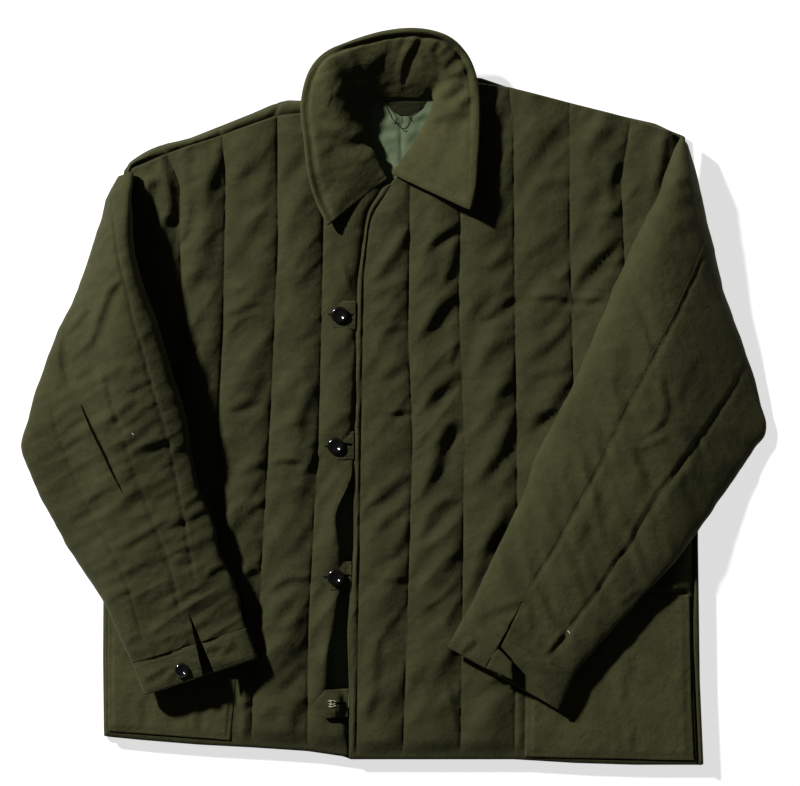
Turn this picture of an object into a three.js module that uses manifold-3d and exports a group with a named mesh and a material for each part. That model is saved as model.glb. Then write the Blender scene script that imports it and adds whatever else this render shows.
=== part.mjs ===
// A padded, channel-quilted jacket laid flat on its back, open at the neck, with both
// sleeves folded over the fronts. Millimetres. X runs to the wearer's left, Y to the
// collar, Z up from the surface the jacket lies on. Right and left are the wearer's.
import * as THREE from 'three';
import { mergeVertices } from 'three/addons/utils/BufferGeometryUtils.js';
import Module from 'manifold-3d';

const wasm = await Module();
wasm.setup();

// ---------- driving sizes ----------
const SEAM_GAP = 0.3; // clear space between two sewn pieces
const BACK_THICKNESS = 9; // padded back, pressed flat by the fronts
const LINING_THICKNESS = 1;
const QUILT_THICKNESS = 5; // a front where a quilting seam pins it down
const SHOULDER_RISE = 10; // height of the back where it wraps over the shoulder
const POCKET_THICKNESS = 2;
const TAB_THICKNESS = 2;
const SLEEVE_WALL = 8;
const CUFF_WALL = 3;
const COLLAR_THICKNESS = 6;
const SLEEVE_REST = 26.3; // a sleeve's underside where it lies on a front
const SLEEVE_DROP = 80; // width over which that underside falls to the surface
const SLEEVE_DROP_START = 30; // how far inside the side seam the fall begins
const FLOOR_CLEARANCE = 0.4;
const FRONT_BUTTON_DIAMETER = 18.3;
const CUFF_BUTTON_DIAMETER = 15.6;

const LINING_Z = BACK_THICKNESS + SEAM_GAP;
const FRONT_Z = LINING_Z + LINING_THICKNESS + SEAM_GAP;
const QUILT_Z = FRONT_Z + QUILT_THICKNESS;

// ---------- finishes ----------
const olive = new THREE.MeshStandardMaterial({ color: 0x5a5a3c, roughness: 0.85, metalness: 0 });
const liningGreen = new THREE.MeshStandardMaterial({ color: 0x8fa58c, roughness: 0.8, metalness: 0 });
const buttonBlack = new THREE.MeshStandardMaterial({ color: 0x0b0b0c, roughness: 0.2, metalness: 0 });

const jacket = new THREE.Group();
jacket.name = 'padded_jacket';

function addPiece(name, geometry, material) {
  const mesh = new THREE.Mesh(geometry, material);
  mesh.name = name;
  jacket.add(mesh);
  return mesh;
}

// ---------- small maths ----------
const lerp = (a, b, t) => a + (b - a) * t;
const clamp01 = (t) => Math.min(1, Math.max(0, t));
const smooth = (t) => clamp01(t) ** 2 * (3 - 2 * clamp01(t));
// how full a padded channel is at the fraction f of its width
const pillow = (f) => 1 - (2 * f - 1) ** 2;

// x of a seam at the height y; a seam is a list of [x, y] from its top to its foot
function seamX(seam, y) {
  if (y >= seam[0][1]) return seam[0][0];
  for (let i = 1; i < seam.length; i += 1) {
    const [x0, y0] = seam[i - 1];
    const [x1, y1] = seam[i];
    if (y >= y1) return lerp(x0, x1, (y0 - y) / (y0 - y1));
  }
  return seam.at(-1)[0];
}

function distanceToSegment(x, y, x0, y0, x1, y1) {
  const length2 = (x1 - x0) ** 2 + (y1 - y0) ** 2;
  const t = clamp01(((x - x0) * (x1 - x0) + (y - y0) * (y1 - y0)) / length2);
  return Math.hypot(x - lerp(x0, x1, t), y - lerp(y0, y1, t));
}

// ---------- closed solids from grids of points ----------
class Skin {
  constructor() {
    this.points = [];
    this.faces = [];
  }

  add(point) {
    this.points.push(point);
    return this.points.length - 1;
  }

  addGrid(grid) {
    return grid.map((column) => column.map((point) => this.add(point)));
  }

  triangle(a, b, c) {
    this.faces.push([a, b, c]);
  }

  quad(a, b, c, d) {
    this.triangle(a, b, c);
    this.triangle(a, c, d);
  }

  // the faces of a grid of point numbers; turned over where flip is true
  sheet(ids, flip) {
    for (let i = 0; i + 1 < ids.length; i += 1) {
      for (let j = 0; j + 1 < ids[i].length; j += 1) {
        const corners = [ids[i][j], ids[i][j + 1], ids[i + 1][j + 1], ids[i + 1][j]];
        if (flip) corners.reverse();
        this.quad(...corners);
      }
    }
  }

  // a strip of wall between two loops of equal length
  wall(upper, lower) {
    upper.forEach((id, i) => {
      const next = (i + 1) % upper.length;
      this.quad(id, lower[i], lower[next], upper[next]);
    });
  }

  cap(ring, centre) {
    ring.forEach((id, i) => this.triangle(id, ring[(i + 1) % ring.length], centre));
  }

  signedVolume() {
    return this.faces.reduce((sum, [a, b, c]) => {
      const [p, q, r] = [a, b, c].map((id) => new THREE.Vector3(...this.points[id]));
      return sum + p.dot(q.cross(r)) / 6;
    }, 0);
  }

  geometry() {
    const inward = this.signedVolume() < 0;
    const faces = inward ? this.faces.map(([a, b, c]) => [a, c, b]) : this.faces;
    const geometry = new THREE.BufferGeometry();
    geometry.setAttribute('position', new THREE.Float32BufferAttribute(this.points.flat(), 3));
    geometry.setIndex(faces.flat());
    geometry.computeVertexNormals();
    return geometry;
  }
}

// the rim of a grid, once round
function rimOf(ids) {
  const last = ids.length - 1;
  const foot = ids[0].length - 1;
  const left = ids[0].slice(0, foot);
  const bottom = ids.slice(0, last).map((column) => column[foot]);
  const right = ids[last].slice(1).reverse();
  const top = ids.slice(1).reverse().map((column) => column[0]);
  return [...left, ...bottom, ...right, ...top];
}

// a thick sheet between an upper and a lower grid of the same size
function thickSheet(upper, lower) {
  const skin = new Skin();
  const above = skin.addGrid(upper);
  const below = skin.addGrid(lower);
  skin.sheet(above, false);
  skin.sheet(below, true);
  skin.wall(rimOf(above), rimOf(below));
  return skin.geometry();
}

// an upper grid on a flat underside at the height z
function flatBottomed(upper, z) {
  const skin = new Skin();
  const above = skin.addGrid(upper);
  const rim = rimOf(above);
  const foot = rim.map((id) => skin.add([skin.points[id][0], skin.points[id][1], z]));
  skin.sheet(above, false);
  skin.wall(rim, foot);
  const outline = foot.map((id) => new THREE.Vector2(skin.points[id][0], skin.points[id][1]));
  THREE.ShapeUtils.triangulateShape(outline, []).forEach(([a, b, c]) => {
    skin.triangle(foot[a], foot[c], foot[b]);
  });
  return skin.geometry();
}

// a plate with a straight-sided outline
function plate(outline, z0, z1) {
  const shape = new THREE.Shape(outline.map(([x, y]) => new THREE.Vector2(x, y)));
  const geometry = new THREE.ExtrudeGeometry(shape, { depth: z1 - z0, bevelEnabled: false });
  return geometry.translate(0, 0, z0);
}

function toManifold(geometry) {
  const bare = geometry.clone();
  bare.deleteAttribute('normal');
  bare.deleteAttribute('uv');
  const merged = mergeVertices(bare, 1e-4);
  return new wasm.Manifold(new wasm.Mesh({
    numProp: 3,
    vertProperties: new Float32Array(merged.attributes.position.array),
    triVerts: new Uint32Array(merged.index.array),
  }));
}

function fromManifold(solid) {
  const mesh = solid.getMesh();
  const geometry = new THREE.BufferGeometry();
  geometry.setAttribute('position', new THREE.BufferAttribute(new Float32Array(mesh.vertProperties), 3));
  geometry.setIndex(new THREE.BufferAttribute(new Uint32Array(mesh.triVerts), 1));
  geometry.computeVertexNormals();
  return geometry;
}

const cut = (geometry, tool) => fromManifold(toManifold(geometry).subtract(toManifold(tool)));
const join = (a, b) => fromManifold(toManifold(a).add(toManifold(b)));

// ---------- quilted fronts ----------
// Each seam runs from the shoulder or neckline to the hem. The space between two
// seams is a channel; crown is how far its padding stands above the seams.
const rightFront = {
  seams: [
    { name: 'side', at: [[-290, 246], [-299, 192], [-307, 127], [-311, 62], [-314, -113], [-313, -368]] },
    { name: 'quilt 3', at: [[-248, 267], [-233, 234], [-232, 105], [-246, -113], [-271, -331], [-274, -372]] },
    { name: 'quilt 2', at: [[-187, 288], [-183, 234], [-186, 72], [-196, -113], [-211, -320], [-212, -377]] },
    { name: 'quilt 1', at: [[-127, 309], [-126, 167], [-133, 3], [-146, -222], [-153, -293], [-155, -380]] },
    { name: 'button stand', at: [[-66, 314], [-76, 225], [-78, 100], [-82, -47], [-93, -255], [-94, -384]] },
    {
      name: 'front edge',
      at: [
        [-12, 228], [-30, 198], [-40, 127], [-43, 68], [-44, -37], [-46, -89], [-64, -126],
        [-55, -178], [-58, -211], [-69, -265], [-72, -320], [-65, -347], [-53, -359], [-51, -390],
      ],
    },
  ],
  crowns: [6, 8, 8, 7, 4],
  neckline: { channel: 4, bulge: 20 },
  pocket: { x0: -330, x1: -172, top: -222 },
  // soft troughs: from, to, depth and width
  folds: [
    { x0: -122, y0: 105, x1: -88, y1: 190, depth: 4, width: 14 },
    { x0: -122, y0: -40, x1: -90, y1: 30, depth: 4, width: 14 },
    { x0: -178, y0: 52, x1: -138, y1: 80, depth: 3, width: 10 },
    { x0: -140, y0: -190, x1: -102, y1: -120, depth: 4, width: 14 },
    { x0: -146, y0: -345, x1: -102, y1: -270, depth: 4, width: 14 },
  ],
};

const leftFront = {
  seams: [
    {
      name: 'front edge',
      at: [
        [-10, 226], [-22, 214], [-28, 203], [-38, 127], [-40, 68], [-42, -37], [-42, -162],
        [-46, -217], [-49, -255], [-47, -320], [-47, -393],
      ],
    },
    {
      name: 'edge stitching',
      at: [[-2, 231], [-21, 203], [-27, 189], [-33, 131], [-36, -47], [-39, -255], [-41, -393]],
    },
    { name: 'quilt 1', at: [[20, 254], [18, 224], [16, 68], [21, -47], [16, -208], [10, -393]] },
    { name: 'quilt 2', at: [[66, 344], [73, 191], [71, 107], [77, -47], [75, -238], [73, -393]] },
    { name: 'quilt 3', at: [[126, 336], [131, 286], [132, 113], [135, -118], [132, -393]] },
    { name: 'quilt 4', at: [[192, 319], [192, 183], [196, 18], [198, -113], [198, -397]] },
    { name: 'quilt 5', at: [[259, 302], [248, 234], [252, 148], [258, -58], [263, -399]] },
    { name: 'side', at: [[302, 288], [311, 214], [322, 138], [327, 62], [326, -58], [324, -265], [330, -399]] },
  ],
  crowns: [2.5, 8, 8, 8, 8, 7, 6],
  neckline: { channel: 2, bulge: 7 },
  pocket: { x0: 146, x1: 345, top: -217 },
  folds: [
    { x0: -18, y0: 120, x1: 14, y1: 190, depth: 4, width: 13 },
    { x0: 24, y0: 90, x1: 68, y1: 180, depth: 5, width: 14 },
    { x0: 26, y0: 10, x1: 70, y1: 60, depth: 4, width: 12 },
    { x0: 28, y0: -75, x1: 72, y1: 0, depth: 5, width: 14 },
    { x0: 28, y0: -160, x1: 74, y1: -90, depth: 5, width: 14 },
    { x0: 80, y0: 40, x1: 128, y1: 100, depth: 4, width: 12 },
    { x0: 82, y0: -60, x1: 130, y1: 10, depth: 5, width: 14 },
    { x0: 138, y0: 103, x1: 226, y1: 109, depth: 4, width: 9 },
    { x0: 140, y0: 200, x1: 186, y1: 235, depth: 4, width: 12 },
    { x0: 200, y0: 150, x1: 244, y1: 200, depth: 4, width: 12 },
  ],
};

const HEM_FALL = 26; // the padding thins out over this height above the hem
const SHOULDER_FALL = 30; // and over this height below the shoulder
const SHOULDER_FULLNESS = 0.45; // what is left of it at the shoulder
const POCKET_FULLNESS = 0.12; // and below a pocket
const POCKET_BLEND = 10;

function coveredByPocket(front, x, y) {
  const { x0, x1, top } = front.pocket;
  const inside = smooth((x - x0) / POCKET_BLEND + 1) * smooth((x1 - x) / POCKET_BLEND + 1);
  return inside * smooth((top - y) / POCKET_BLEND + 1);
}

function foldDepth(front, x, y) {
  return front.folds.reduce((sum, { x0, y0, x1, y1, depth, width }) => {
    const away = distanceToSegment(x, y, x0, y0, x1, y1) / width;
    return sum + depth * Math.exp(-away * away);
  }, 0);
}

// where the channel k, at the fraction f of its width, starts and ends
function channelEnds(front, k, f) {
  const left = front.seams[k].at;
  const right = front.seams[k + 1].at;
  const bulge = k === front.neckline.channel ? front.neckline.bulge * pillow(f) : 0;
  return { top: lerp(left[0][1], right[0][1], f) + bulge, foot: lerp(left.at(-1)[1], right.at(-1)[1], f) };
}

function frontHeight(front, k, f, x, y) {
  const { top, foot } = channelEnds(front, k, f);
  const hem = smooth((y - foot) / HEM_FALL);
  const shoulder = lerp(SHOULDER_FULLNESS, 1, smooth((top - y) / SHOULDER_FALL));
  const pocket = lerp(1, POCKET_FULLNESS, coveredByPocket(front, x, y));
  const full = front.crowns[k] * pillow(f) * hem * shoulder * pocket;
  return QUILT_Z + full * (1 - foldDepth(front, x, y) / (front.crowns[k] + 1));
}

// the height of a front above the point x, y
function frontTop(front, x, y) {
  const { seams } = front;
  for (let k = 0; k + 1 < seams.length; k += 1) {
    const x0 = seamX(seams[k].at, y);
    const x1 = seamX(seams[k + 1].at, y);
    if (x >= x0 && x <= x1) return frontHeight(front, k, (x - x0) / (x1 - x0), x, y);
  }
  return QUILT_Z;
}

// the highest a front gets within reach of a point
function frontCover(front, x, y, reach) {
  const steps = [-1, -0.5, 0, 0.5, 1].map((s) => s * reach);
  return Math.max(...steps.flatMap((dx) => steps.map((dy) => frontTop(front, x + dx, y + dy))));
}

const CHANNEL_COLUMNS = [0, 0.22, 0.5, 0.78];
const FRONT_ROWS = 17;

function frontGrid(front) {
  const grid = [];
  const lastChannel = front.seams.length - 2;
  for (let k = 0; k <= lastChannel; k += 1) {
    const columns = k === lastChannel ? [...CHANNEL_COLUMNS, 1] : CHANNEL_COLUMNS;
    columns.forEach((f) => {
      const { top, foot } = channelEnds(front, k, f);
      grid.push(Array.from({ length: FRONT_ROWS + 1 }, (_, row) => {
        const y = lerp(top, foot, row / FRONT_ROWS);
        const x = lerp(seamX(front.seams[k].at, y), seamX(front.seams[k + 1].at, y), f);
        return [x, y, frontHeight(front, k, f, x, y)];
      }));
    });
  }
  return grid;
}

addPiece('front_right', flatBottomed(frontGrid(rightFront), FRONT_Z), olive);
addPiece('front_left', flatBottomed(frontGrid(leftFront), FRONT_Z), olive);

// ---------- back and lining ----------
const backOutline = [
  [-293, 246], [-286, 256], [-258, 272], [-222, 281], [-189, 294], [-154, 308], [-122, 321], [-99, 322],
  [-50, 330], [-36, 323], [-20, 322], [8, 322], [38, 324], [52, 332], [66, 346], [94, 347],
  [126, 336], [172, 325], [217, 313], [258, 303], [285, 297], [302, 289], [317, 283],
  [323, 214], [330, 138], [333, 62], [331, -156], [333, -309], [337, -401],
  [263, -401], [198, -399], [132, -395], [73, -395], [-47, -395], [-53, -392], [-94, -386],
  [-155, -382], [-212, -379], [-274, -374], [-315, -370], [-316, -287], [-315, -113], [-312, 62],
  [-308, 127], [-300, 192],
];

// the back's own cloth that wraps over the right shoulder to a seam on the front
const shoulderStrip = [
  [-290, 246.8], [-286, 256], [-258, 272], [-222, 281], [-189, 294], [-154, 308], [-122, 321], [-99, 322],
  [-66, 327], [-66, 314.6], [-127, 309.6], [-187, 288.6], [-248, 267.6],
];

const SHOULDER_TOP = FRONT_Z + SHOULDER_RISE;
const back = join(plate(backOutline, 0, BACK_THICKNESS), plate(shoulderStrip, BACK_THICKNESS - 1, SHOULDER_TOP));
addPiece('back', back, olive);

const liningOutline = [
  [-284, 238], [-246, 260], [-187, 282], [-127, 303], [-66, 308], [-34, 316], [-20, 321.7], [8, 321.7],
  [38, 323.7], [60, 338], [126, 330], [192, 313], [258, 297], [312, 278],
  [318, 214], [325, 138], [328, 62], [326, -156], [328, -309], [331, -396],
  [198, -394], [-47, -390], [-155, -377], [-310, -365], [-311, -287], [-310, -113], [-307, 62],
  [-303, 127], [-295, 192],
];
addPiece('back_lining', plate(liningOutline, LINING_Z, LINING_Z + LINING_THICKNESS), liningGreen);

// ---------- patch pockets ----------
const POCKET_COLUMNS = 9;
const POCKET_ROWS = 7;

// left and right are the pocket's edges as seams
function pocketGrids(front, left, right) {
  const columns = Array.from({ length: POCKET_COLUMNS + 1 }, (_, i) => i / POCKET_COLUMNS);
  const rows = Array.from({ length: POCKET_ROWS + 1 }, (_, j) => j / POCKET_ROWS);
  const lower = columns.map((s) => rows.map((t) => {
    const y = lerp(lerp(left[0][1], right[0][1], s), lerp(left.at(-1)[1], right.at(-1)[1], s), t);
    const x = lerp(seamX(left, y), seamX(right, y), s);
    return [x, y, frontCover(front, x, y, 12) + SEAM_GAP];
  }));
  const upper = lower.map((column) => column.map(([x, y, z]) => [x, y, z + POCKET_THICKNESS]));
  return [upper, lower];
}

const rightPocketEdges = [
  [[-310, -222], [-311, -287], [-310, -364]],
  [[-160, -222], [-166, -260], [-171, -295], [-179, -374]],
];
const leftPocketEdges = [
  [[146, -217], [145, -330], [144, -392]],
  [[322, -217], [324, -331], [327, -396]],
];
addPiece('pocket_right', thickSheet(...pocketGrids(rightFront, ...rightPocketEdges)), olive);
addPiece('pocket_left', thickSheet(...pocketGrids(leftFront, ...leftPocketEdges)), olive);

// ---------- sleeves ----------
// Stations from the shoulder to the wrist: the outer and the inner edge in plan, how
// high the sleeve stands, and lean, which lifts its inner edge or, below 0, its outer.
const rightSleeve = {
  side: rightFront.seams[0].at,
  outward: -1,
  stations: [
    { outX: -299, outY: 240, inX: -286, inY: 244, height: 18, lean: 0 },
    { outX: -311, outY: 217, inX: -287, inY: 223, height: 34, lean: 0.05 },
    { outX: -319, outY: 192, inX: -289, inY: 198, height: 44, lean: 0.1 },
    { outX: -331, outY: 156, inX: -287, inY: 168, height: 50, lean: 0.12 },
    { outX: -346, outY: 111, inX: -279, inY: 132, height: 53, lean: 0.12 },
    { outX: -366, outY: 70, inX: -267, inY: 90, height: 53, lean: 0.12 },
    { outX: -385, outY: 20, inX: -252, inY: 40, height: 50, lean: 0.1 },
    { outX: -399, outY: -24, inX: -241, inY: 0, height: 47, lean: 0.08 },
    { outX: -405, outY: -58, inX: -232, inY: -30, height: 44, lean: 0.06 },
    { outX: -397, outY: -84, inX: -223, inY: -60, height: 42, lean: 0.05 },
    { outX: -378, outY: -123, inX: -211, inY: -98, height: 39, lean: 0.05 },
    { outX: -356, outY: -163, inX: -196, inY: -138, height: 36, lean: 0.05 },
    { outX: -334, outY: -195, inX: -185, inY: -178, height: 33, lean: 0.05 },
    { outX: -316, outY: -224, inX: -171, inY: -208, height: 30, lean: 0.03 },
    { outX: -300, outY: -258, inX: -165, inY: -230, height: 27, lean: 0 },
    { outX: -284, outY: -290, inX: -160, inY: -251, height: 26, lean: 0 },
  ],
  cuff: { outX: -271, outY: -324, inX: -148, inY: -283, height: 22, lean: 0 },
  vent: [[-222, -234], [-203, -315], [-183, -308]],
};

const leftSleeve = {
  side: leftFront.seams.at(-1).at,
  outward: 1,
  stations: [
    { outX: 321, outY: 274, inX: 313, inY: 284, height: 16, lean: 0 },
    { outX: 329, outY: 245, inX: 301, inY: 254, height: 28, lean: 0 },
    { outX: 338, outY: 208, inX: 284, inY: 212, height: 36, lean: -0.05 },
    { outX: 350, outY: 158, inX: 259, inY: 162, height: 42, lean: -0.08 },
    { outX: 362, outY: 107, inX: 239, inY: 116, height: 45, lean: -0.1 },
    { outX: 377, outY: 70, inX: 223, inY: 78, height: 46, lean: -0.1 },
    { outX: 391, outY: 30, inX: 206, inY: 38, height: 46, lean: -0.1 },
    { outX: 401, outY: -8, inX: 193, inY: 10, height: 45, lean: -0.1 },
    { outX: 407, outY: -38, inX: 183, inY: -10, height: 44, lean: -0.1 },
    { outX: 392, outY: -60, inX: 173, inY: -30, height: 43, lean: -0.1 },
    { outX: 367, outY: -98, inX: 162, inY: -50, height: 42, lean: -0.1 },
    { outX: 340, outY: -134, inX: 151, inY: -76, height: 41, lean: -0.1 },
    { outX: 314, outY: -172, inX: 140, inY: -110, height: 39, lean: -0.1 },
    { outX: 283, outY: -205, inX: 122, inY: -147, height: 36, lean: -0.08 },
    { outX: 253, outY: -238, inX: 103, inY: -188, height: 33, lean: -0.05 },
    { outX: 222, outY: -273, inX: 87, inY: -219, height: 29, lean: 0 },
    { outX: 196, outY: -304, inX: 76, inY: -240, height: 26, lean: 0 },
  ],
  cuff: { outX: 180, outY: -340, inX: 59, inY: -272, height: 22, lean: 0 },
  vent: [[141, -222], [96, -303], [112, -322], [182, -350], [161, -322], [117, -272]],
};

const SLEEVE_EDGE = 13; // how high a sleeve's side edges lie above its underside
const RING_POINTS = 20;
const FIRST_HOLLOW = 3; // the station where a sleeve's hollow begins
const UPPER_POWER = 0.75; // roundness of a sleeve's upper and lower half
const LOWER_POWER = 0.5;

// the underside of a sleeve: on the front, then down past the side seam to the surface
function sleeveRest(sleeve, x, y) {
  const beyond = (x - seamX(sleeve.side, y)) * sleeve.outward;
  const fallen = smooth((beyond + SLEEVE_DROP_START) / SLEEVE_DROP);
  return lerp(SLEEVE_REST, FLOOR_CLEARANCE, fallen);
}

// one ring of points round a station, set in by the thickness of the wall
function sleeveRing(sleeve, station, wall) {
  const { outX, outY, inX, inY, height, lean } = station;
  const half = Math.hypot(inX - outX, inY - outY) / 2;
  const shrink = (half - wall) / half;
  const edge = Math.min(SLEEVE_EDGE, height * 0.45);
  return Array.from({ length: RING_POINTS }, (_, i) => {
    const turn = (i / RING_POINTS) * 2 * Math.PI;
    const across = Math.cos(turn) * shrink;
    const x = lerp(outX, inX, (across + 1) / 2);
    const y = lerp(outY, inY, (across + 1) / 2);
    const middle = sleeveRest(sleeve, x, y) + edge;
    const rise = Math.sin(turn);
    const above = (height - edge - wall) * (1 + lean * across) * Math.max(0, rise) ** UPPER_POWER;
    const below = (edge - wall) * Math.max(0, -rise) ** LOWER_POWER;
    return [x, y, middle + above - below];
  });
}

function centreOf(ring) {
  return [0, 1, 2].map((axis) => ring.reduce((sum, point) => sum + point[axis], 0) / ring.length);
}

// a padded tube, closed at the armhole and open at the wrist
function sleeveGeometry(sleeve) {
  const skin = new Skin();
  const outer = sleeve.stations.map((s) => sleeveRing(sleeve, s, 0));
  const inner = sleeve.stations.slice(FIRST_HOLLOW).map((s) => sleeveRing(sleeve, s, SLEEVE_WALL));
  const outside = skin.addGrid(outer);
  const inside = skin.addGrid(inner);
  for (let i = 1; i < outside.length; i += 1) skin.wall(outside[i - 1], outside[i]);
  for (let i = 1; i < inside.length; i += 1) skin.wall(inside[i], inside[i - 1]);
  skin.wall(outside.at(-1), inside.at(-1));
  skin.cap([...outside[0]], skin.add(centreOf(outer[0])));
  skin.cap([...inside[0]].reverse(), skin.add(centreOf(inner[0])));
  return skin.geometry();
}

// what is taken out of the upper cloth at the vent
const ventTool = (sleeve) => plate(sleeve.vent, SLEEVE_REST + SLEEVE_EDGE, SLEEVE_REST + 60);

// a station the fraction t of the way from one station to another
function stationBetween(a, b, t) {
  return Object.fromEntries(Object.keys(a).map((key) => [key, lerp(a[key], b[key], t)]));
}

// the stitched band round the wrist, an open ring once the vent is cut
function cuffGeometry(sleeve) {
  const wrist = sleeve.stations.at(-1);
  const depth = Math.hypot(sleeve.cuff.outX - wrist.outX, sleeve.cuff.outY - wrist.outY);
  const ends = [SEAM_GAP / depth, 0.5, 1].map((t) => stationBetween(wrist, sleeve.cuff, t));
  const skin = new Skin();
  const outside = skin.addGrid(ends.map((s) => sleeveRing(sleeve, s, 0)));
  const inside = skin.addGrid(ends.map((s) => sleeveRing(sleeve, s, CUFF_WALL)));
  for (let i = 1; i < ends.length; i += 1) {
    skin.wall(outside[i - 1], outside[i]);
    skin.wall(inside[i], inside[i - 1]);
  }
  skin.wall(outside.at(-1), inside.at(-1));
  skin.wall(inside[0], outside[0]);
  return skin.geometry();
}

[['right', rightSleeve], ['left', leftSleeve]].forEach(([side, sleeve]) => {
  addPiece(`sleeve_${side}`, cut(sleeveGeometry(sleeve), ventTool(sleeve)), olive);
  addPiece(`cuff_${side}`, cut(cuffGeometry(sleeve), ventTool(sleeve)), olive);
});

// the end of the left cuff's band, which buttons below its other end
const underlapOutline = [[113, -273.5], [101.3, -295], [129, -307], [128, -289]];
const UNDERLAP_Z = SLEEVE_REST + 19;
addPiece('cuff_left_underlap', plate(underlapOutline, UNDERLAP_Z, UNDERLAP_Z + 2.5), olive);

// ---------- collar ----------
// Stations from the tip of the right leaf, round the back of the neck, to the tip of the
// left leaf: the neck seam, the crest where the collar rolls over, and the outer rim.
const collarStations = [
  { seam: [-8, 238, 25], crest: [-12, 240, 33], rim: [-71, 188, 34] },
  { seam: [-18, 252, 24], crest: [-26, 258, 43], rim: [-84, 215, 38] },
  { seam: [-25, 268, 21], crest: [-40, 274, 52], rim: [-92, 245, 40] },
  { seam: [-28, 286, 18.5], crest: [-52, 294, 57], rim: [-97, 282, 42] },
  { seam: [-28, 304, 16], crest: [-57, 318, 58], rim: [-100, 315, 44] },
  { seam: [-25, 317, 14.5], crest: [-54, 342, 57], rim: [-94, 348, 48] },
  { seam: [-18, 324, 13.5], crest: [-40, 361, 53], rim: [-78, 370, 53] },
  { seam: [-8, 327, 13.5], crest: [-22, 368, 46], rim: [-48, 388, 57] },
  { seam: [6, 328, 13.5], crest: [4, 364, 40], rim: [-10, 399, 58] },
  { seam: [20, 328, 13.5], crest: [24, 364, 40], rim: [26, 402, 58] },
  { seam: [32, 329, 13.5], crest: [42, 362, 44], rim: [58, 395, 57] },
  { seam: [42, 330, 14.5], crest: [54, 352, 50], rim: [79, 376, 55] },
  { seam: [46, 322, 18.5], crest: [57, 336, 55], rim: [91, 352, 53] },
  { seam: [43, 306, 20.5], crest: [52, 314, 57], rim: [94, 320, 51] },
  { seam: [36, 288, 21.5], crest: [42, 292, 56], rim: [94, 286, 49] },
  { seam: [27, 270, 22.5], crest: [30, 270, 52], rim: [92, 256, 47] },
  { seam: [18, 254, 24], crest: [18, 252, 45], rim: [89, 228, 44] },
  { seam: [8, 240, 25], crest: [9, 239, 37], rim: [84, 204, 41] },
];
const COLLAR_COLUMNS = 8;

// a point of the collar's middle surface, on a curve through seam, crest and rim
function collarPoint({ seam, crest, rim }, t) {
  const before = (1 - t) ** 2;
  const pull = 2 * t * (1 - t);
  return [0, 1, 2].map((axis) => {
    const control = 2 * crest[axis] - (seam[axis] + rim[axis]) / 2;
    return before * seam[axis] + pull * control + t * t * rim[axis];
  });
}

// the grid moved by a distance along its own normals
function offsetGrid(grid, distance) {
  const vector = ([x, y, z]) => new THREE.Vector3(x, y, z);
  return grid.map((column, i) => column.map((point, j) => {
    const along = vector(grid[Math.min(i + 1, grid.length - 1)][j]).sub(vector(grid[Math.max(i - 1, 0)][j]));
    const across = vector(column[Math.min(j + 1, column.length - 1)]).sub(vector(column[Math.max(j - 1, 0)]));
    const normal = along.cross(across).normalize();
    return vector(point).addScaledVector(normal, distance).toArray();
  }));
}

const collarSteps = Array.from({ length: COLLAR_COLUMNS + 1 }, (_, j) => j / COLLAR_COLUMNS);
const collarGrid = collarStations.map((station) => collarSteps.map((t) => collarPoint(station, t)));
const collar = thickSheet(offsetGrid(collarGrid, COLLAR_THICKNESS / 2), offsetGrid(collarGrid, -COLLAR_THICKNESS / 2));
addPiece('collar', collar, olive);

// ---------- hanging loop ----------
const loopOutline = [[-7, 319], [33, 319], [29, 313], [22, 308], [15, 306.5], [7, 307.5], [-1, 312]];
const LOOP_Z = LINING_Z + LINING_THICKNESS + SEAM_GAP;
addPiece('hanging_loop', plate(loopOutline, LOOP_Z, LOOP_Z + 1.5), olive);

// ---------- button tabs and buttons ----------
const TAB_HALF = 15; // half a tab's width
const TAB_SHOULDER = 12; // length of its pointed end
const TAB_CLEARANCE = 0.6;
const BUTTON_HEIGHT = 4;
const BUTTON_SIDES = 16;

// Each tab's root at the left front's edge, its tip, and the middle of its button. The
// lowest tab lies over its button; the others have it on top.
const tabs = [
  { root: [-41.6, 88], tip: [-78, 91], button: [-59, 89], covers: false },
  { root: [-43.4, -53.5], tip: [-78, -54], button: [-63, -54], covers: false },
  { root: [-46, -195.5], tip: [-80, -196], button: [-63, -197], covers: false },
  { root: [-50, -334], tip: [-86, -336], button: [-74, -335], covers: true },
];

const TAB_COLUMNS = 8;
const TAB_ROWS = 4;

// the front below a point, or the highest of its edge where the front falls short
function tabSeat(x, y) {
  return frontCover(rightFront, x, y, 5) + TAB_CLEARANCE;
}

const hiddenButtonSeat = ([x, y]) => frontCover(rightFront, x, y, 9) + SEAM_GAP;

// the underside of a tab, lifted where its button lies below it
function tabUnderside({ button, covers }, x, y) {
  const seat = tabSeat(x, y);
  if (!covers) return seat;
  const away = Math.hypot(x - button[0], y - button[1]) - FRONT_BUTTON_DIAMETER / 2;
  const aboveButton = hiddenButtonSeat(button) + BUTTON_HEIGHT + SEAM_GAP;
  return lerp(aboveButton, Math.min(seat, aboveButton), smooth((away - 5) / 8));
}

function tabGrids(tab) {
  const columns = Array.from({ length: TAB_COLUMNS + 1 }, (_, i) => i / TAB_COLUMNS);
  const rows = Array.from({ length: TAB_ROWS + 1 }, (_, j) => 1 - (2 * j) / TAB_ROWS);
  const lower = columns.map((s) => rows.map((t) => {
    const x = lerp(tab.tip[0], tab.root[0], s);
    const narrow = clamp01((x - tab.tip[0]) / TAB_SHOULDER);
    const y = lerp(tab.tip[1], tab.root[1], s) + t * lerp(1, TAB_HALF, narrow);
    return [x, y, tabUnderside(tab, x, y)];
  }));
  return [lower.map((column) => column.map(([x, y, z]) => [x, y, z + TAB_THICKNESS])), lower];
}

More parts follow.
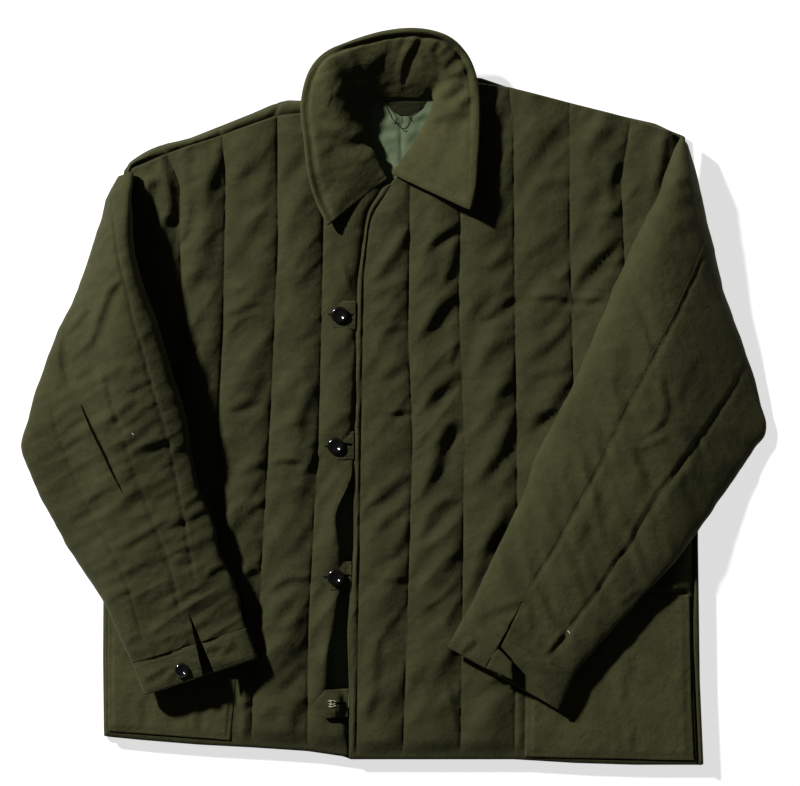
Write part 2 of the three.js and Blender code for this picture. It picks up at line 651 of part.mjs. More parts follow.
// a round button: domed rim and a dished middle
function buttonGeometry(diameter) {
  const radius = diameter / 2;
  const profile = [[0, 0], [0.8, 0], [1, 0.35], [0.97, 0.7], [0.82, 1], [0.62, 0.9], [0.5, 0.7], [0, 0.65]];
  const points = profile.map(([r, z]) => new THREE.Vector2(r * radius, z * BUTTON_HEIGHT));
  return new THREE.LatheGeometry(points, BUTTON_SIDES).rotateX(Math.PI / 2);
}

const placedButton = (diameter, [x, y], z) => buttonGeometry(diameter).translate(x, y, z);

tabs.forEach((tab, i) => {
  const [x, y] = tab.button;
  const seat = tab.covers
    ? hiddenButtonSeat(tab.button)
    : Math.max(tabSeat(x - 6, y), tabSeat(x, y), tabSeat(x + 6, y)) + TAB_THICKNESS + SEAM_GAP;
  addPiece(`button_tab_${i + 1}`, thickSheet(...tabGrids(tab)), olive);
  addPiece(`button_${i + 1}`, placedButton(FRONT_BUTTON_DIAMETER, tab.button, seat), buttonBlack);
});

const cuffButtonPlace = [-230, -297];
const CUFF_BUTTON_Z = SLEEVE_REST + 24;
addPiece('cuff_button_right', placedButton(CUFF_BUTTON_DIAMETER, cuffButtonPlace, CUFF_BUTTON_Z), buttonBlack);

export default jacket;
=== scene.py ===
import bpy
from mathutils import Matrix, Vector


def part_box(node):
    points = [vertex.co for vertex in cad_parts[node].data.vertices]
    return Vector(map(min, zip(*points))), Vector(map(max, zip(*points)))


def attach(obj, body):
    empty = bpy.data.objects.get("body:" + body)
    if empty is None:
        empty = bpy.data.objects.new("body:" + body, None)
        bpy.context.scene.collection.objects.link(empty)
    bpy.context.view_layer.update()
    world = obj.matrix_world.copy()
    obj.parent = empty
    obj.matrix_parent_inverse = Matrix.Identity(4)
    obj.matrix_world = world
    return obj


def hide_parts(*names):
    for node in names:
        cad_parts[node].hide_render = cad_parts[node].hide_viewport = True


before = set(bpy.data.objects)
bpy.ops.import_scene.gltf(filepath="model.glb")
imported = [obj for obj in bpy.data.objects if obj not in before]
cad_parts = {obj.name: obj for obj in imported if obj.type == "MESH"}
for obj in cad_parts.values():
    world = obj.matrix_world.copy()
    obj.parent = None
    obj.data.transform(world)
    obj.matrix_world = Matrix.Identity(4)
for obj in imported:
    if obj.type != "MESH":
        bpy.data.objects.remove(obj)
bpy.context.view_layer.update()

import math

import bmesh
import bpy
import numpy as np
from mathutils import Vector
from mathutils.bvhtree import BVHTree

# Sizes are in millimetres, in the frame of the CAD model, until a mesh is made.
SEAM_GAP = 0.3
BACK_THICKNESS = 9.0
LINING_THICKNESS = 1.0
LINING_Z = BACK_THICKNESS + SEAM_GAP
FRONT_Z = LINING_Z + LINING_THICKNESS + SEAM_GAP
QUILT_Z = FRONT_Z + 5.0
SHOULDER_TOP = FRONT_Z + 10.0
SLEEVE_WALL, CUFF_WALL = 8.0, 3.0
SLEEVE_REST, FLOOR_CLEARANCE = 26.3, 0.4
LOWER_POWER = 0.5
LIGHT_FALL = np.array([0.77, -0.64])  # the way shadows fall on the plan


# ---------- small maths ----------
def mm(points):
    """Plan points counted in steps of 1.09 mm from the view's upper left corner."""
    p = np.asarray(points, float)
    return np.stack([(p[..., 0] - 393.5) * 1.09, (396.5 - p[..., 1]) * 1.09], -1)


def lerp(a, b, t):
    return a + (b - a) * t


def smooth(t):
    t = np.clip(t, 0, 1)
    return t * t * (3 - 2 * t)


def value_noise(x, y, long, short, seed, angle=0.0):
    """Soft noise from -1 to 1, stretched along a direction given in degrees."""
    table = np.random.default_rng(seed).uniform(-1, 1, (256, 256))
    c, s = math.cos(math.radians(angle)), math.sin(math.radians(angle))
    u, v = (x * c + y * s) / long + 900.0, (y * c - x * s) / short + 900.0
    iu, iv = np.floor(u).astype(int), np.floor(v).astype(int)
    fu, fv = smooth(u - iu), smooth(v - iv)

    def at(a, b):
        return table[a & 255, b & 255]

    low = lerp(at(iu, iv), at(iu + 1, iv), fu)
    high = lerp(at(iu, iv + 1), at(iu + 1, iv + 1), fu)
    return lerp(low, high, fv)


def creases(x, y, long, short, seed, angle=0.0):
    """Noise from -1 to 1 with narrow ridges and wide, soft valleys."""
    return 1 - 2.6 * np.abs(value_noise(x, y, long, short, seed, angle)) ** 0.8


def catmull(rows, count):
    """Rows of numbers, read as a smooth curve at count places."""
    rows = np.asarray(rows, float)
    t = np.linspace(0, len(rows) - 1, count)
    i = np.minimum(t.astype(int), len(rows) - 2)
    f = (t - i)[:, None]
    p0, p1 = rows[np.maximum(i - 1, 0)], rows[i]
    p2, p3 = rows[i + 1], rows[np.minimum(i + 2, len(rows) - 1)]
    return 0.5 * (2 * p1 + (p2 - p0) * f + (2 * p0 - 5 * p1 + 4 * p2 - p3) * f ** 2
                  + (3 * p1 - p0 - 3 * p2 + p3) * f ** 3)


def line_distance(x, y, line):
    """Distance to a line, the side it is on (+1 down the light) and how far along, 0 to 1."""
    p = np.asarray(line, float)
    step = p[1:] - p[:-1]
    length = np.hypot(step[:, 0], step[:, 1])
    start = np.concatenate([[0], np.cumsum(length)])
    best = np.full(np.shape(x), 1e9)
    side = np.zeros_like(best)
    along = np.zeros_like(best)
    for (ax, ay), (dx, dy), size, s0 in zip(p[:-1], step, length, start):
        t = np.clip(((x - ax) * dx + (y - ay) * dy) / size ** 2, 0, 1)
        ox, oy = x - ax - t * dx, y - ay - t * dy
        away = np.hypot(ox, oy)
        nx, ny = dy / size, -dx / size
        if nx * LIGHT_FALL[0] + ny * LIGHT_FALL[1] < 0:
            nx, ny = -nx, -ny
        closer = away < best
        best = np.where(closer, away, best)
        side = np.where(closer, np.where(ox * nx + oy * ny >= 0, 1.0, -1.0), side)
        along = np.where(closer, (s0 + t * size) / start[-1], along)
    return best, side, along


def folds_at(x, y, folds):
    """Height of soft folds: each a ridge that falls into a trough on its shaded side."""
    total = np.zeros_like(x)
    for line, size, width in folds:
        line = mm(line)
        reach = 4 * width
        near = ((x > line[:, 0].min() - reach) & (x < line[:, 0].max() + reach)
                & (y > line[:, 1].min() - reach) & (y < line[:, 1].max() + reach))
        if not near.any():
            continue
        away, side, along = line_distance(x[near], y[near], line)
        taper = smooth(along / 0.16) * smooth((1 - along) / 0.42)
        waver = 0.1 * value_noise(x[near], y[near], 26, 12, 71, 20)
        d = away * side / (width * 1.4 * lerp(0.45, 1, taper)) + waver
        shape = 0.8 * np.exp(-((d + 0.7) / 0.8) ** 2) - 0.75 * np.exp(-((d - 0.55) / 0.9) ** 2)
        total[near] += 0.88 * size * shape * taper
    return total


def grooves_at(x, y, grooves):
    """Depth of sewn seams: sharp at the thread, rounding out to the padding."""
    total = np.zeros_like(x)
    for line, depth, width in grooves:
        line = mm(line)
        reach = 6 * width
        near = ((x > line[:, 0].min() - reach) & (x < line[:, 0].max() + reach)
                & (y > line[:, 1].min() - reach) & (y < line[:, 1].max() + reach))
        away, _, along = line_distance(x[near], y[near], line)
        ends = smooth(np.minimum(along, 1 - along) / 0.08)
        total[near] += depth * np.exp(-away / width) * ends
    return total


# ---------- meshes ----------
def grid_faces(ids, flip=False):
    quads = np.stack([ids[:-1, :-1], ids[:-1, 1:], ids[1:, 1:], ids[1:, :-1]], -1).reshape(-1, 4)
    return quads[:, ::-1] if flip else quads


def ring_faces(a, b):
    """Quads between two closed loops of equal length."""
    return np.stack([a, b, np.roll(b, -1), np.roll(a, -1)], -1)


def rim_of(ids):
    return np.concatenate([ids[0, :-1], ids[:-1, -1], ids[-1, ::-1][:-1], ids[::-1, 0][:-1]])


def outward(loop):
    """Unit normals in plan of a closed loop of points, pointing out of it."""
    ahead = np.roll(loop, -1, 0) - np.roll(loop, 1, 0)
    n = np.stack([ahead[:, 1], -ahead[:, 0]], -1)
    n /= np.maximum(np.hypot(n[:, 0], n[:, 1]), 1e-9)[:, None]
    area = np.sum(loop[:, 0] * np.roll(loop[:, 1], -1) - np.roll(loop[:, 0], -1) * loop[:, 1])
    return n if area > 0 else -n


def make_object(name, points, faces, material, recalc=True):
    mesh = bpy.data.meshes.new(name)
    mesh.from_pydata((np.asarray(points) / 1000).tolist(), [], [list(map(int, f)) for f in faces])
    if recalc:
        bm = bmesh.new()
        bm.from_mesh(mesh)
        bmesh.ops.recalc_face_normals(bm, faces=bm.faces)
        bm.to_mesh(mesh)
        bm.free()
    mesh.shade_smooth()
    mesh.materials.append(material)
    obj = bpy.data.objects.new(name, mesh)
    bpy.context.scene.collection.objects.link(obj)
    return obj


def slab(name, top, foot, material, bulge=1.2, steps=5):
    """A soft thick panel: a top grid, a rounded edge, and an underside grid or level."""
    nx, ny = top.shape[:2]
    ids = np.arange(nx * ny).reshape(nx, ny)
    points = [top.reshape(-1, 3)]
    faces = [grid_faces(ids)]
    rim = rim_of(ids)
    rim_points = points[0][rim]
    normals = outward(rim_points[:, :2])
    flat = np.isscalar(foot)
    low = np.full(len(rim), float(foot)) if flat else foot.reshape(-1, 3)[rim][:, 2]
    low_xy = rim_points[:, :2] if flat else foot.reshape(-1, 3)[rim][:, :2]
    last, count = rim, nx * ny
    for k in range(1, steps + 1):
        turn = math.pi * k / steps
        share = (1 - math.cos(turn)) / 2
        ring = np.empty((len(rim), 3))
        ring[:, :2] = lerp(rim_points[:, :2], low_xy, share) + normals * bulge * math.sin(turn)
        ring[:, 2] = lerp(rim_points[:, 2], low, share)
        here = np.arange(count, count + len(rim))
        points.append(ring)
        faces.append(ring_faces(last, here))
        last, count = here, count + len(rim)
    if flat:
        everything = [list(f) for f in np.concatenate(faces)] + [list(last)]
        return make_object(name, np.concatenate(points), everything, material)
    under = np.arange(count, count + nx * ny).reshape(nx, ny)
    points.append(foot.reshape(-1, 3))
    everything = np.concatenate([*faces, grid_faces(under, True), ring_faces(last, rim_of(under))])
    return make_object(name, np.concatenate(points), everything, material)


def tree_of(obj):
    mesh = obj.data
    return BVHTree.FromPolygons([v.co for v in mesh.vertices], [p.vertices for p in mesh.polygons])


def height_on(trees, x, y, default=None):
    """Highest surface above a plan point in millimetres, and its normal."""
    best, normal = default, Vector((0, 0, 1))
    for tree in trees:
        hit, n, _, _ = tree.ray_cast(Vector((x / 1000, y / 1000, 0.3)), Vector((0, 0, -1)))
        if hit is not None and (best is None or hit.z * 1000 > best):
            best, normal = hit.z * 1000, n
    return best, normal


# ---------- materials ----------
def node(nodes, kind, **values):
    made = nodes.new(kind)
    for key, value in values.items():
        if key in made.inputs:
            made.inputs[key].default_value = value
        else:
            setattr(made, key, value)
    return made


def cloth_material(name, dark, light, weave=0.0011, sheen=0.08, bump=0.25, crumple_depth=0.0019,
                   wear=(1, 1, 1, 1), brown=(1.03, 0.985, 0.95), gloss=0.08):
    """Plain-woven cloth: crossed threads, slubs, mottled dye and paler worn edges."""
    mat = bpy.data.materials.new(name)
    mat.use_nodes = True
    tree = mat.node_tree
    nodes, links = tree.nodes, tree.links
    shader = nodes["Principled BSDF"]
    shader.inputs["Roughness"].default_value = 0.82
    shader.inputs["Sheen Weight"].default_value = sheen
    shader.inputs["Sheen Roughness"].default_value = 0.5
    shader.inputs["Sheen Tint"].default_value = (0.75, 0.8, 0.5, 1)
    shader.inputs["Specular IOR Level"].default_value = gloss
    place = node(nodes, "ShaderNodeTexCoord").outputs["Object"]

    mottle = node(nodes, "ShaderNodeTexNoise", Scale=38.0, Detail=9.0, Roughness=0.68)
    links.new(place, mottle.inputs["Vector"])
    grain = node(nodes, "ShaderNodeTexNoise", Scale=900.0, Detail=2.0)
    links.new(place, grain.inputs["Vector"])
    ramp = nodes.new("ShaderNodeValToRGB")
    ramp.color_ramp.elements[0].position = 0.36
    ramp.color_ramp.elements[1].position = 0.68
    ramp.color_ramp.elements[0].color = (*dark, 1)
    ramp.color_ramp.elements[1].color = (*light, 1)
    warm = ramp.color_ramp.elements.new(0.53)
    warm.color = (*[(a + b) / 2 * tint for a, b, tint in zip(dark, light, brown)], 1)
    mixed = node(nodes, "ShaderNodeMath", operation="MULTIPLY_ADD")
    mixed.inputs[1].default_value = 0.42
    links.new(grain.outputs["Fac"], mixed.inputs[0])
    shift = node(nodes, "ShaderNodeMath", operation="MULTIPLY")
    shift.inputs[1].default_value = 0.58
    links.new(mottle.outputs["Fac"], shift.inputs[0])
    links.new(shift.outputs[0], mixed.inputs[2])
    links.new(mixed.outputs[0], ramp.inputs["Fac"])

    threads = []
    for axis in ("X", "Y"):
        wave = node(nodes, "ShaderNodeTexWave", Scale=0.5 / weave, Distortion=1.2, Detail=1.0)
        wave.wave_type, wave.bands_direction = "BANDS", axis
        wave.inputs["Detail Scale"].default_value = 0.6
        links.new(place, wave.inputs["Vector"])
        threads.append(wave.outputs["Fac"])
    woven = node(nodes, "ShaderNodeMath", operation="MULTIPLY")
    links.new(threads[0], woven.inputs[0])
    links.new(threads[1], woven.inputs[1])

    edge = nodes.new("ShaderNodeNewGeometry")
    worn = nodes.new("ShaderNodeMapRange")
    worn.inputs["From Min"].default_value = 0.53
    worn.inputs["From Max"].default_value = 0.64
    worn.inputs["To Max"].default_value = 0.4
    links.new(edge.outputs["Pointiness"], worn.inputs["Value"])
    paler = nodes.new("ShaderNodeMix")
    paler.data_type = "RGBA"
    paler.inputs["B"].default_value = wear
    paler.inputs[7].default_value = wear
    links.new(worn.outputs["Result"], paler.inputs[0])
    links.new(ramp.outputs["Color"], paler.inputs[6])
    tinted = nodes.new("ShaderNodeMix")
    tinted.data_type, tinted.blend_type = "RGBA", "MULTIPLY"
    tinted.inputs[0].default_value = 0.3
    links.new(paler.outputs[2], tinted.inputs[6])
    links.new(woven.outputs[0], tinted.inputs[7])
    links.new(tinted.outputs[2], shader.inputs["Base Color"])

    height = node(nodes, "ShaderNodeMath", operation="ADD")
    links.new(woven.outputs[0], height.inputs[0])
    links.new(grain.outputs["Fac"], height.inputs[1])
    crumple = node(nodes, "ShaderNodeTexNoise", Scale=100.0, Detail=6.0, Roughness=0.62)
    links.new(place, crumple.inputs["Vector"])
    creased = node(nodes, "ShaderNodeBump", Strength=0.8, Distance=crumple_depth)
    links.new(crumple.outputs["Fac"], creased.inputs["Height"])
    raised = node(nodes, "ShaderNodeBump", Strength=bump, Distance=0.0006)
    links.new(creased.outputs["Normal"], raised.inputs["Normal"])
    links.new(height.outputs[0], raised.inputs["Height"])
    links.new(raised.outputs["Normal"], shader.inputs["Normal"])
    return mat


OLIVE = cloth_material("olive_cloth", (0.030, 0.033, 0.0120), (0.0565, 0.0565, 0.0245),
                       wear=(0.085, 0.083, 0.041, 1))
# Painted shade: the same olive made darker for the right sleeve, to stand for the shade it lies in.
OLIVE_PAINTED_SHADE = cloth_material("olive_sleeve_cloth_painted_shade", (0.0275, 0.0303, 0.0107), (0.053, 0.053, 0.0222),
                        wear=(0.078, 0.076, 0.037, 1))
# Painted light: the same olive made paler for the left sleeve, to stand for the light that falls on it.
OLIVE_PAINTED_LIGHT = cloth_material("olive_left_sleeve_cloth_painted_light", (0.0350, 0.0385, 0.0140), (0.0660, 0.0660, 0.0285),
                      wear=(0.09, 0.088, 0.043, 1))
# Painted light: the same olive made paler for the collar and the patch pockets, to stand for the light on them.
PALE_OLIVE_PAINTED_LIGHT = cloth_material("pale_olive_painted_light", (0.042, 0.0455, 0.0172), (0.079, 0.0785, 0.0340),
                       wear=(0.1, 0.098, 0.048, 1))
TRIM = cloth_material("olive_trim", (0.0345, 0.0378, 0.0142), (0.0635, 0.0635, 0.0280),
                      wear=(0.095, 0.093, 0.046, 1))
LINING = cloth_material("lining_cloth", (0.094, 0.13, 0.068), (0.142, 0.182, 0.102), weave=0.0008,
                        sheen=0.05, bump=0.12, crumple_depth=0.0007, wear=(0.2, 0.27, 0.16, 1), brown=(1, 1, 1))
LOOP = cloth_material("loop_tape", (0.015, 0.016, 0.0080), (0.025, 0.026, 0.0130), weave=0.0014,
                      sheen=0.0, wear=(0.03, 0.031, 0.016, 1), brown=(1, 1, 1), gloss=0.0)


# Painted shade: a near-black cloth laid where only shade shows, in the right sleeve's cleft and the buttonhole slits.
DEEP_SHADE = cloth_material("cleft_painted_shade", (0.0028, 0.0031, 0.0020), (0.0052, 0.0056, 0.0034), sheen=0.0,
                            wear=(0.006, 0.006, 0.004, 1), brown=(1, 1, 1), gloss=0.0)


def thread_material(name, colour):
    mat = bpy.data.materials.new(name)
    mat.use_nodes = True
    nodes, links = mat.node_tree.nodes, mat.node_tree.links
    shader = nodes["Principled BSDF"]
    shader.inputs["Roughness"].default_value = 0.7
    shader.inputs["Specular IOR Level"].default_value = 0.15
    place = nodes.new("ShaderNodeTexCoord").outputs["Object"]
    twist = node(nodes, "ShaderNodeTexNoise", Scale=2500.0, Detail=1.0)
    links.new(place, twist.inputs["Vector"])
    ramp = nodes.new("ShaderNodeValToRGB")
    ramp.color_ramp.elements[0].color = (*[c * 0.7 for c in colour], 1)
    ramp.color_ramp.elements[1].color = (*[min(1, c * 1.25) for c in colour], 1)
    links.new(twist.outputs["Fac"], ramp.inputs["Fac"])
    links.new(ramp.outputs["Color"], shader.inputs["Base Color"])
    bump = node(nodes, "ShaderNodeBump", Strength=0.3, Distance=0.0002)
    links.new(twist.outputs["Fac"], bump.inputs["Height"])
    links.new(bump.outputs["Normal"], shader.inputs["Normal"])
    return mat


THREAD = thread_material("olive_thread", (0.055, 0.055, 0.026))
BRIGHT_THREAD = thread_material("worn_thread", (0.11, 0.108, 0.055))
# Dark thread: the loop's frayed ends are this colour; on the right sleeve its darkness also paints the shade in the
# seam grooves.
DARK_THREAD_AND_SEAM_SHADE = thread_material("dark_thread_and_seam_shade", (0.014, 0.0155, 0.0085))
PALE_THREAD = thread_material("pale_thread", (0.42, 0.40, 0.30))


def button_material():
    mat = bpy.data.materials.new("gloss_button")
    mat.use_nodes = True
    nodes, links = mat.node_tree.nodes, mat.node_tree.links
    shader = nodes["Principled BSDF"]
    shader.inputs["Specular IOR Level"].default_value = 0.6
    shader.inputs["Coat Weight"].default_value = 0.25
    shader.inputs["Coat Roughness"].default_value = 0.08
    place = nodes.new("ShaderNodeTexCoord").outputs["Object"]
    cloud = node(nodes, "ShaderNodeTexNoise", Scale=300.0, Detail=4.0)
    links.new(place, cloud.inputs["Vector"])
    ramp = nodes.new("ShaderNodeValToRGB")
    ramp.color_ramp.elements[0].color = (0.0015, 0.0015, 0.0014, 1)
    ramp.color_ramp.elements[1].color = (0.0045, 0.0045, 0.004, 1)
    links.new(cloud.outputs["Fac"], ramp.inputs["Fac"])
    links.new(ramp.outputs["Color"], shader.inputs["Base Color"])
    rough = nodes.new("ShaderNodeMapRange")
    rough.inputs["To Min"].default_value = 0.12
    rough.inputs["To Max"].default_value = 0.2
    links.new(cloud.outputs["Fac"], rough.inputs["Value"])
    links.new(rough.outputs["Result"], shader.inputs["Roughness"])
    return mat


BUTTON = button_material()


# ---------- quilted fronts ----------
RIGHT_FRONT = {
    "seams": [
        [[-290, 246], [-299, 192], [-307, 127], [-311, 62], [-314, -113], [-313, -368]],
        [[-248, 264], [-233, 234], [-232, 105], [-246, -113], [-271, -331], [-274, -372]],
        [[-187, 284], [-183, 234], [-186, 72], [-196, -113], [-211, -320], [-212, -377]],
        [[-127, 305], [-126, 167], [-133, 3], [-146, -222], [-153, -293], [-155, -380]],
        [[-66, 311], [-76, 225], [-78, 100], [-82, -47], [-93, -255], [-94, -384]],
        [[-12, 228], [-30, 198], [-40, 127], [-43, 68], [-44, -37], [-46, -89], [-64, -126],
         [-55, -178], [-58, -211], [-69, -265], [-72, -320], [-65, -347], [-53, -359], [-51, -390]],
    ],
    "crowns": [5.5, 6.5, 6.5, 6, 4],
    "neckline": (4, 20), "power": 2.2,
    "lift": [(-126, 52, 8.5), (-266, 50, 8.5), (18, 50, 3.0)],
    "pocket": (-330, -172, -222),
    "folds": [
        ([(344, 258), (350, 280), (356, 298)], 1.5, 4),
        ([(357, 418), (345, 421), (336, 428)], 1.6, 5),
        ([(318, 193), (305, 208), (296, 218), (290, 235), (284, 254)], 3.6, 8),
        ([(301, 150), (292, 172), (287, 198)], 2.0, 8),
        ([(320, 250), (308, 275), (298, 295), (289, 318)], 1.8, 9),
        ([(322, 342), (310, 358), (300, 375)], 1.6, 7),
        ([(321, 382), (312, 400), (304, 412), (303, 428), (307, 448)], 3.2, 7),
        ([(302, 418), (290, 426), (276, 434)], 1.4, 6),
        ([(321, 452), (310, 468), (301, 479)], 3.5, 5),
        ([(305, 464), (285, 461), (276, 464), (267, 472)], 2.8, 4),
        ([(318, 487), (305, 505), (290, 525), (278, 548)], 2.0, 11),
        ([(318, 579), (295, 581), (280, 587), (264, 598)], 2.8, 5),
        ([(312, 612), (300, 640), (288, 658), (264, 682)], 2.4, 10),
        ([(308, 662), (296, 675), (285, 685), (275, 698)], 3.8, 6),
        ([(309, 696), (298, 712), (294, 725), (296, 742)], 3.8, 7),
        ([(292, 598), (277, 622), (264, 642)], 1.6, 9),
        ([(227, 138), (222, 162), (214, 184), (206, 214)], 4.2, 7),
        ([(248, 287), (238, 293), (228, 299)], 1.4, 4),
        ([(262, 303), (240, 311), (222, 318), (206, 315)], 2.0, 4),
        ([(262, 399), (245, 408), (222, 413)], 2.6, 5),
        ([(270, 464), (252, 468), (242, 475), (236, 484)], 3.2, 5),
        ([(267, 502), (255, 508), (244, 520)], 3.2, 5),
        ([(264, 540), (252, 548), (242, 560)], 2.2, 6),
        ([(262, 573), (250, 573), (240, 580)], 2.0, 4),
        ([(252, 383), (238, 387), (222, 389)], 1.8, 5),
        ([(192, 196), (191, 215), (184, 234), (178, 250)], 3.0, 5),
        ([(186, 160), (189, 175), (187, 192)], 2.2, 5),
        ([(226, 190), (215, 212), (209, 240), (212, 268)], 2.4, 9),
        ([(196, 226), (186, 238), (178, 248)], 2.4, 4),
        ([(163, 150), (170, 172), (175, 198), (173, 226), (177, 256)], 6.0, 6),
        ([(160, 178), (152, 187), (148, 202), (150, 218)], 4.0, 5),
        ([(180, 218), (168, 222), (163, 234), (164, 250)], 3.5, 5),
        ([(207, 140), (208, 152), (204, 168)], 1.6, 6),
        ([(190, 145), (190, 156), (186, 168)], 1.6, 5),
        ([(200, 340), (195, 345), (186, 352)], 2.5, 4),
        ([(262, 606), (252, 612), (246, 624)], 2.4, 5),
        ([(252, 704), (243, 707), (234, 713)], 2.0, 4),
    ],
}

LEFT_FRONT = {
    "seams": [
        [[-10, 226], [-22, 214], [-28, 203], [-38, 127], [-40, 68], [-42, -37], [-42, -162],
         [-46, -217], [-49, -255], [-47, -320], [-47, -393]],
        [[-2, 231], [-21, 203], [-27, 189], [-33, 131], [-36, -47], [-39, -255], [-41, -393]],
        [[20, 254], [18, 224], [16, 68], [21, -47], [16, -208], [10, -393]],
        [[66, 344], [73, 191], [71, 107], [77, -47], [75, -238], [73, -393]],
        [[126, 336], [131, 286], [132, 113], [135, -118], [132, -393]],
        [[192, 319], [192, 183], [196, 18], [198, -113], [198, -397]],
        [[259, 302], [248, 234], [252, 148], [258, -58], [263, -399]],
        [[302, 288], [311, 214], [322, 138], [327, 62], [326, -58], [324, -265], [330, -399]],
    ],
    "crowns": [2, 5.5, 5.5, 5.5, 5.5, 5, 4.5],
    "neckline": (2, 7), "power": 2.0,
    "pocket": (146, 345, -217),
    "folds": [
        ([(414, 226), (404, 244), (392, 262), (380, 277), (362, 285)], 4.6, 7),
        ([(410, 281), (390, 292), (368, 306)], 1.6, 6),
        ([(412, 328), (398, 331), (382, 331)], 1.6, 5),
        ([(413, 361), (400, 369), (388, 376), (374, 381)], 3.2, 6),
        ([(415, 412), (400, 413), (384, 415)], 2.4, 3.5),
        ([(412, 429), (395, 431), (376, 433)], 1.2, 6),
        ([(415, 475), (401, 484), (390, 493), (380, 502), (362, 510)], 4.2, 7),
        ([(413, 503), (398, 515), (380, 528), (362, 536)], 2.2, 5),
        ([(414, 515), (408, 540), (396, 556), (380, 563)], 3.2, 6),
        ([(412, 579), (396, 582), (380, 580), (362, 576)], 1.8, 5),
        ([(381, 632), (377, 660), (376, 685), (371, 710), (369, 740)], 3.4, 6),
        ([(427, 200), (419, 220), (410, 238)], 2.2, 6),
        ([(465, 223), (450, 233), (438, 241), (428, 252), (423, 268)], 4.0, 6),
        ([(462, 235), (457, 258), (451, 275), (441, 294)], 3.8, 6),
        ([(463, 294), (449, 305), (438, 318), (429, 330), (416, 344)], 5.6, 8),
        ([(440, 272), (425, 283), (413, 294)], 1.4, 5),
        ([(467, 372), (452, 384), (440, 392), (432, 403), (427, 420)], 5.0, 8),
        ([(459, 340), (455, 357), (450, 374)], 2.2, 4),
        ([(467, 424), (452, 430), (446, 441), (442, 455), (438, 470), (430, 487), (416, 508)], 5.6, 7.5),
        ([(466, 503), (450, 504), (440, 512), (430, 526), (422, 540), (416, 558)], 4.0, 7),
        ([(462, 583), (446, 589), (438, 600), (430, 616), (422, 634)], 3.2, 9),
        ([(464, 636), (452, 668), (440, 682), (430, 696), (422, 716)], 3.0, 8),
        ([(448, 676), (454, 703), (459, 725), (461, 748)], 1.8, 4),
        ([(515, 261), (496, 264), (484, 270), (474, 290)], 2.8, 7),
        ([(520, 296), (504, 307), (492, 316), (474, 326)], 4.2, 5),
        ([(519, 340), (500, 348), (488, 358), (476, 376)], 3.4, 8),
        ([(519, 380), (505, 395), (498, 406), (490, 420), (468, 448)], 3.9, 8),
        ([(521, 405), (513, 430), (508, 445), (499, 459), (487, 472), (470, 496)], 5.0, 8),
        ([(520, 464), (511, 478), (500, 492)], 2.2, 7),
        ([(522, 498), (506, 518), (495, 540), (486, 562), (476, 584), (466, 602)], 5.2, 10),
        ([(512, 679), (498, 681), (484, 689), (468, 702)], 2.8, 7),
        ([(482, 652), (472, 665), (464, 678)], 1.8, 6),
        ([(574, 184), (555, 185), (541, 190), (530, 202), (523, 217)], 3.4, 7),
        ([(572, 132), (552, 134), (530, 138)], 2.0, 9),
        ([(562, 234), (540, 246), (518, 264)], 2.4, 7),
        ([(576, 276), (556, 281), (538, 291)], 2.4, 6),
        ([(608, 300), (586, 301), (572, 302), (555, 298), (540, 299), (514, 302)], 2.8, 4),
        ([(575, 305), (562, 333), (546, 349), (526, 365)], 3.0, 7),
        ([(576, 363), (558, 372), (522, 383)], 1.8, 5),
        ([(574, 378), (562, 397), (555, 411), (542, 420), (522, 438)], 3.6, 6),
        ([(597, 101), (588, 117), (578, 130)], 3.2, 4),
        ([(615, 108), (608, 119), (600, 127)], 2.0, 3),
        ([(618, 126), (602, 137), (591, 150), (585, 172)], 3.0, 9),
        ([(621, 158), (615, 183), (613, 212)], 4.0, 6),
        ([(624, 214), (610, 215), (594, 215)], 1.8, 5),
        ([(628, 237), (612, 248), (601, 261), (588, 275), (580, 290)], 4.0, 7),
        ([(628, 258), (615, 266), (600, 268)], 1.8, 5),
        ([(671, 130), (667, 155), (662, 178), (652, 210)], 5.0, 6),
        ([(683, 132), (678, 144), (671, 160)], 3.4, 3),
        ([(552, 90), (550, 101), (542, 108)], 1.4, 4),
    ],
}

CHANNEL_COLUMNS = 21
FRONT_ROWS = 310


def seam_x(seam, y, soften=9.0):
    """x of a seam at the heights y, with its corners rounded off."""
    s = np.asarray(seam, float)[::-1]
    parts = [(w, np.interp(y + o * soften, s[:, 1], s[:, 0]))
             for o, w in ((-1, 1), (-0.5, 2), (0, 3), (0.5, 2), (1, 1))]
    return sum(w * v for w, v in parts) / 9


